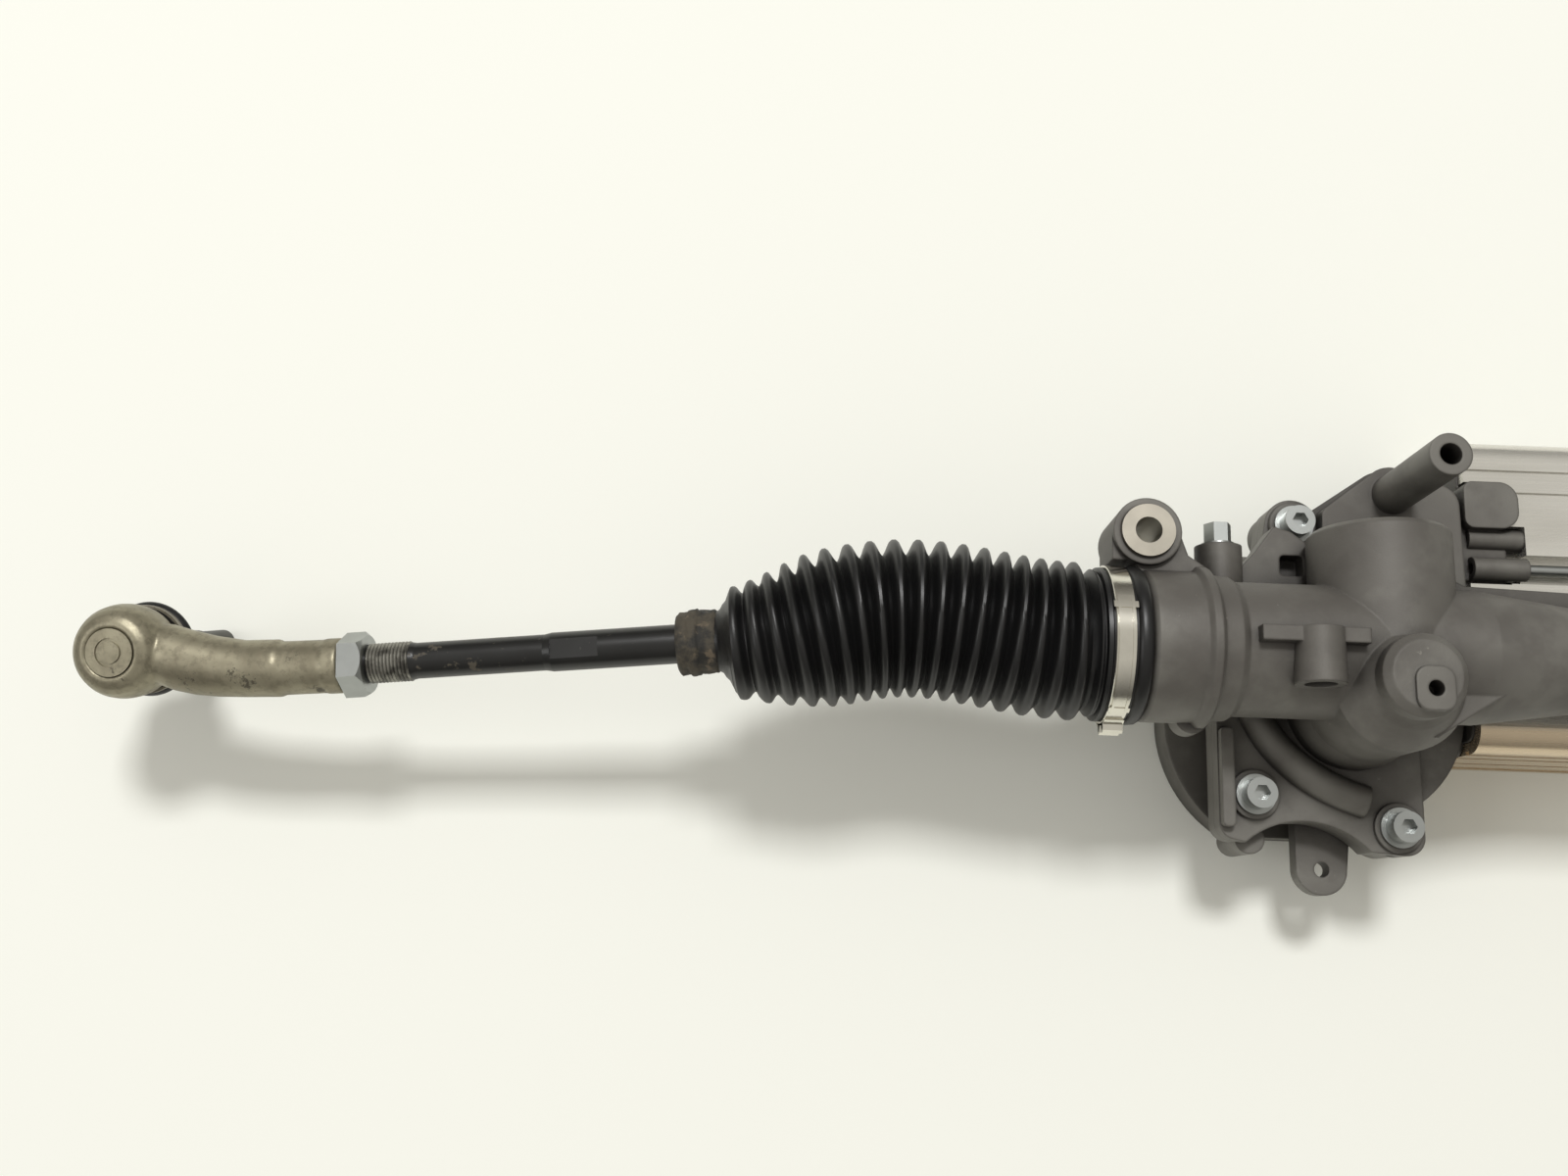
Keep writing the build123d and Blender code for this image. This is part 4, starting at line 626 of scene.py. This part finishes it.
def makeRodEnds():
    # arm and head are made flat, along X and Z, and laid on the rod's line at the end
    turn = Matrix(rodEndAxes()).transposed().to_4x4()
    local = Matrix.Translation(rackPoint(rod["ball"], 0, 0)) @ turn
    ball = local.inverted() @ rackPoint(*rodEnd["ball"])
    towards = 1 if ball[1] > 0 else -1
    arm = editRing("leftTieRodEnd", rodEnd["sides"], 0.001, (0, 0, 0))
    last, size = Vector((0, 0, 0)), (1.0, 1.0)
    for number, (distance, shift, wide, high) in enumerate(armRings):
        centre = mm(rodEnd["nut"] + distance, towards * shift, 0)
        if number:
            bpy.ops.mesh.extrude_region_move(TRANSFORM_OT_translate=dict(value=centre - last))
        else:
            bpy.ops.transform.translate(value=centre)
        bpy.ops.transform.resize(value=(1, wide / size[0], high / size[1]), center_override=centre)
        last, size = centre, (wide, high)
    closeSolid()
    arm.select_set(False)
    radius, height = headProfile[0]
    place = ball + mm(0, 0, height)
    bpy.ops.mesh.primitive_circle_add(vertices=rodEnd["headSides"], radius=radius / 1000, location=place)
    bpy.ops.object.transform_apply(location=True, rotation=True, scale=True)
    bpy.ops.object.mode_set(mode="EDIT")
    bpy.ops.mesh.select_all(action="SELECT")
    for (oldRadius, oldHeight), (radius, height) in zip(headProfile, headProfile[1:]):
        bpy.ops.mesh.extrude_region_move(TRANSFORM_OT_translate=dict(value=mm(0, 0, height - oldHeight)))
        wider = radius / oldRadius
        bpy.ops.transform.resize(value=(wider, wider, 1), center_override=ball + mm(0, 0, height))
    closeSolid()
    arm.select_set(True)
    bpy.context.view_layer.objects.active = arm
    bpy.ops.object.join()
    useModifier(arm, "REMESH", mode="VOXEL", voxel_size=rodEnd["voxel"] / 1000)
    useModifier(arm, "SMOOTH", factor=0.5, iterations=rodEnd["smoothing"])
    arm.matrix_world = local
    bpy.ops.object.transform_apply(location=True, rotation=True, scale=True)
    closePiece(arm, "forged_end", 50)
    placeBoth(arm, "rightTieRodEnd", ("side_tie_rod_assembly",), replaced="_tie_rod_end")
    print("rod ends made")


makeRodEnds()


# the boot's depth below the ball and its radius; it bends between the depths fixed and held
boot = dict(
    lean=math.radians(6.0), sides=72, fixed=16.4, held=25.0,
    outside=[(12.45, 18.0), (12.8, 18.2), (15.8, 18.2), (16.3, 19.0), (17.3, 20.1), (18.5, 20.5),
             (19.6, 20.0), (20.3, 18.7), (20.8, 17.5), (21.2, 17.9), (21.9, 17.7), (22.6, 16.3),
             (23.1, 14.6), (23.4, 13.4), (23.8, 13.6), (24.4, 12.8), (24.9, 11.2), (25.3, 9.9),
             (25.8, 9.1), (26.6, 9.2), (28.2, 9.2), (28.7, 8.8)],
    inside=[(28.7, 8.05), (25.5, 8.05), (25.0, 9.0), (24.4, 11.0), (23.6, 12.0), (22.8, 13.2),
            (22.2, 15.4), (21.4, 16.4), (20.4, 16.6), (19.6, 18.4), (18.5, 19.3), (17.5, 18.9),
            (16.6, 17.6), (15.9, 16.6), (12.45, 16.3)])


def bootRing(depth, radius):
    # the boot's axis turns from the socket's to the leaning stud's
    lean = boot["lean"] * smoothStep((depth - boot["fixed"]) / (boot["held"] - boot["fixed"]))
    return (mm(depth * math.cos(lean), depth * math.sin(lean), 0), radius / 1000, lean, 0.0)


def makeBoots():
    rings = [bootRing(*spot) for spot in boot["outside"] + boot["inside"]]
    piece = closePiece(ringChain("leftDustBoot", rings, boot["sides"]), "bellows_rubber", 50)
    ahead, aside, up = rodEndAxes()
    ball = rackPoint(*rodEnd["ball"])
    piece.matrix_world = Matrix.Translation(ball) @ Matrix((-up, -ahead, aside)).transposed().to_4x4()
    select(piece)
    bpy.ops.object.transform_apply(location=True, rotation=True, scale=True)
    stud = -up * math.cos(boot["lean"]) - ahead * math.sin(boot["lean"])
    spots = [ball + stud * boot[depth] / 1000 for depth in ("fixed", "held")]
    bodies = ("side_outer_gimbal", "side_stud")
    placeBoth(piece, "rightDustBoot", bodies, spots, "_dust_boot")
    print("dust boots made")


makeBoots()


def stripAlong(name, points, across, thickness):
    # a flat strip that is extruded from point to point and then given its thickness;
    # a triangle that loses a corner leaves the edge that it starts from
    bpy.ops.mesh.primitive_circle_add(vertices=3, radius=0.001)
    piece = bpy.context.object
    piece.name = piece.data.name = name
    bpy.ops.object.mode_set(mode="EDIT")
    mesh = bmesh.from_edit_mesh(piece.data)
    mesh.verts.ensure_lookup_table()
    bmesh.ops.delete(mesh, geom=[mesh.verts[2]], context="VERTS")
    mesh.verts.ensure_lookup_table()
    for vertex, shift in zip(mesh.verts, (-0.5, 0.5)):
        vertex.co = points[0] + across * shift
    bmesh.update_edit_mesh(piece.data)
    bpy.ops.mesh.select_all(action="SELECT")
    for last, point in zip(points, points[1:]):
        bpy.ops.mesh.extrude_region_move(TRANSFORM_OT_translate=dict(value=point - last))
    bpy.ops.object.mode_set(mode="OBJECT")
    useModifier(piece, "SOLIDIFY", thickness=thickness / 1000, offset=0.0, use_even_offset=True)
    return piece


def arcPoints(x, radius, start, end, steps):
    # points round the rack's axis, in degrees from +Y towards +Z
    angles = [math.radians(start + (end - start) * step / steps) for step in range(steps + 1)]
    return [rackPoint(x, radius * math.cos(angle), radius * math.sin(angle)) for angle in angles]


clamp = dict(
    place=-112.4, width=8.0, radius=31.85, thickness=0.9, chamfer=0.25, sides=72,
    # the lapped tongue and its two raised edges: shift, width, height, first and last degree
    strips=[(0.0, 6.4, 0.7, 64, 158), (-2.7, 1.0, 1.15, 68, 154), (2.7, 1.0, 1.15, 68, 154)],
    stripThickness=0.5, stripSteps=22,
    # the tabs beside the tongue: middle degree and width
    tabs=[(72, 9.6), (152, 8.4)], tabHalf=2.4, tabHeight=0.95, tabThickness=0.7, tabSteps=3,
    # the pinched ear at the bottom, across and up from the rack's axis
    ear=[(-31.6, 7.4), (-33.0, 4.6), (-35.4, 4.3), (-36.2, 3.2), (-35.6, 2.0), (-33.8, 1.2), (-33.6, -1.2),
         (-35.6, -2.0), (-36.2, -3.2), (-35.4, -4.3), (-33.0, -4.6), (-31.6, -7.4)],
    earThickness=0.9, smooth=30)


def makeClamps():
    place, radius, chamfer = clamp["place"], clamp["radius"], clamp["chamfer"]
    half = clamp["width"] / 2
    inner, outer = radius - clamp["thickness"] / 2, radius + clamp["thickness"] / 2
    profile = [(-half, inner), (-half, outer - chamfer), (-half + chamfer, outer), (half - chamfer, outer),
               (half, outer - chamfer), (half, inner)]
    rings = [plainRing(place + shift, 0, 0, size) for shift, size in profile]
    band = closePiece(ringChain("leftClampBand", rings, clamp["sides"]), "clamp_steel", clamp["smooth"])
    parts = [band]
    for shift, width, height, first, last in clamp["strips"]:
        points = arcPoints(place + shift, radius + height, first, last, clamp["stripSteps"])
        parts.append(stripAlong("tongue", points, mm(width, 0, 0), clamp["stripThickness"]))
    for angle, width in clamp["tabs"]:
        first, last = angle - clamp["tabHalf"], angle + clamp["tabHalf"]
        points = arcPoints(place, radius + clamp["tabHeight"], first, last, clamp["tabSteps"])
        parts.append(stripAlong("tab", points, mm(width, 0, 0), clamp["tabThickness"]))
    points = [rackPoint(place, *spot) for spot in clamp["ear"]]
    parts.append(stripAlong("ear", points, mm(clamp["width"], 0, 0), clamp["earThickness"]))
    for part in parts:
        part.select_set(True)
    bpy.context.view_layer.objects.active = band
    bpy.ops.object.join()
    closePiece(band, "clamp_steel", clamp["smooth"])
    band.name = band.data.name = "leftClamp"
    placeBoth(band, "rightClamp", ("housing",), replaced="_bellows_clamp")
    print("clamps made")


makeClamps()


# each turn's rings: distance from the turn's start and radius
thread = dict(start=172.2, turns=12, pitch=1.5, end=7.5, lead=0.2, root=7.9, sides=48,
              turn=[(0.5, 8.35), (0.75, 8.35), (1.4, 7.9)])


def makeThreads():
    start, pitch = thread["start"], thread["pitch"]
    rings = [rodRing(start - thread["lead"], thread["end"]), rodRing(start, thread["root"])]
    for turn in range(thread["turns"]):
        rings += [rodRing(start + turn * pitch + shift, radius) for shift, radius in thread["turn"]]
    rings.append(rodRing(start + thread["turns"] * pitch, thread["end"]))
    piece = closePiece(ringChain("leftThread", rings, thread["sides"]), "bright_steel", 25)
    piece.data.materials[0] = threadFinish
    placeBoth(piece, "rightThread", ("side_tie_rod_assembly",))
    print("threads made")


makeThreads()


cuff = dict(start=43.4, end=60.6, radius=12.9, clip=(51.5, 55.5), raised=0.7, rounding=1.3, rings=26,
            sides=80, bore=11.6, mouth=8.3, lip=1.0, crust=0.55, crustFrom=11.9, lumps=190, broadLumps=90)


def makeCuffs():
    # the small cuff's clip under a crust of road dirt
    start, end, count = cuff["start"], cuff["end"], cuff["rings"]
    rings = []
    for step in range(count + 1):
        place = start + (end - start) * step / count
        raised = cuff["raised"] if cuff["clip"][0] < place < cuff["clip"][1] else 0.0
        rounded = cuff["rounding"] * max(0.0, 1 - step / 2, 1 - (count - step) / 2)
        rings.append(rodRing(place, cuff["radius"] + raised - rounded))
    rings += [rodRing(end, cuff["mouth"]), rodRing(end - cuff["lip"], cuff["mouth"]),
              rodRing(end - cuff["lip"], cuff["bore"]), rodRing(start, cuff["bore"])]
    piece = closePiece(ringChain("leftCuffClip", rings, cuff["sides"]), "rusty_clip", 60)
    foot = rackPoint(*rodPoint(0))
    axis = (rackPoint(*rodPoint(1)) - foot).normalized()
    for vertex in piece.data.vertices:
        out = vertex.co - foot
        out -= axis * out.dot(axis)
        if out.length > cuff["crustFrom"] / 1000:
            lump = noise.fractal(vertex.co * cuff["lumps"], 0.8, 2.2, 4)
            lump += 0.5 * noise.noise(vertex.co * cuff["broadLumps"])
            vertex.co += out.normalized() * lump * cuff["crust"] / 1000
    placeBoth(piece, "rightCuffClip", ("side_tie_rod_assembly",), replaced="_cuff_clip")
    print("cuff clips made")


makeCuffs()


studio = dict(
    paper=(247, 248, 241), horizon=(90, 87, 82), overhead=(203, 200, 193), rampFrom=0.05, rampTo=0.85,
    # the floor in metres: its size, its place under the gear pot, and where plain paper takes over
    floorSize=7.0, floorPlace=(0.1, 0.0, -0.1102), floorRough=0.9, plain=(1.0, 2.4),
    lamps=[dict(name="keyLamp", place=(-0.15, 2.1, 4.4), aim=(0.0, 0.0, -0.05), size=(1.0, 0.8), watts=130,
                colour=(1, 0.998, 0.992)),
           dict(name="sideLamp", place=(-2.6, -0.4, 2.2), aim=(0.1, 0.0, -0.05), size=(1.2, 1.2), watts=14,
                colour=(1, 1, 1))])


def makeFloor():
    size, place = studio["floorSize"], studio["floorPlace"]
    bpy.ops.mesh.primitive_grid_add(x_subdivisions=2, y_subdivisions=2, size=size, location=place)
    floor = bpy.context.object
    floor.name = "floor"
    finish = Finish("paper", studio["floorRough"])
    finish.put("Base Color", tone(*studio["paper"]))
    finish.put("Specular IOR Level", 0.0)
    # far from the object, where the lamps fade, the camera sees plain paper
    near, far = studio["plain"]
    away = finish.add("ShaderNodeVectorMath", dict(operation="LENGTH"), {0: finish.place}, "Value")
    seen = finish.add("ShaderNodeLightPath", {}, {}, "Is Camera Ray")
    share = away.above((near + far) / 2, far - near) * seen
    plain = finish.add("ShaderNodeEmission", {}, {"Color": tone(*studio["paper"])}, "Emission")
    lit = Value(finish, finish.shader.outputs[0])
    mixed = finish.add("ShaderNodeMixShader", {}, {0: share, 1: lit, 2: plain}, "Shader")
    finish.plug(finish.tree.nodes["Material Output"].inputs["Surface"], mixed)
    floor.data.materials.append(finish.material)
    floor.select_set(False)


def addLamp(name, place, aim, size, watts, colour):
    lamp = bpy.data.lights.new(name, "AREA")
    lamp.shape = "RECTANGLE"
    lamp.size, lamp.size_y = size
    lamp.energy = watts
    lamp.color = colour
    holder = bpy.data.objects.new(name, lamp)
    place, aim = Vector(place), Vector(aim)
    turn = (aim - place).to_track_quat("-Z", "Y").to_matrix().to_4x4()
    holder.matrix_world = Matrix.Translation(place) @ turn
    bpy.context.scene.collection.objects.link(holder)


def lightStudio():
    world = bpy.data.worlds.new("studio")
    bpy.context.scene.world = world
    world.use_nodes = True
    sky = Nodes(world.node_tree)
    path = sky.tree.nodes.new("ShaderNodeLightPath")
    rays = [Value(sky, path.outputs[ray]) for ray in ("Is Camera Ray", "Is Transmission Ray")]
    seen = sky.math("MAXIMUM", *rays)
    # paler overhead than at the horizon, which bright metal shows as bands
    place = sky.add("ShaderNodeTexCoord", {}, {}, "Generated")
    height = sky.add("ShaderNodeSeparateXYZ", {}, {0: place}, "Z")
    stops = [(studio["rampFrom"], tone(*studio["horizon"])), (studio["rampTo"], tone(*studio["overhead"]))]
    shade = sky.add("ShaderNodeValToRGB", dict(stops=stops), {0: height}, "Color")
    colour = sky.mix(seen, shade, tone(*studio["paper"]))
    sky.plug(sky.tree.nodes["Background"].inputs["Color"], colour)
    for lamp in studio["lamps"]:
        addLamp(**lamp)


makeFloor()
lightStudio()
print("stage set")
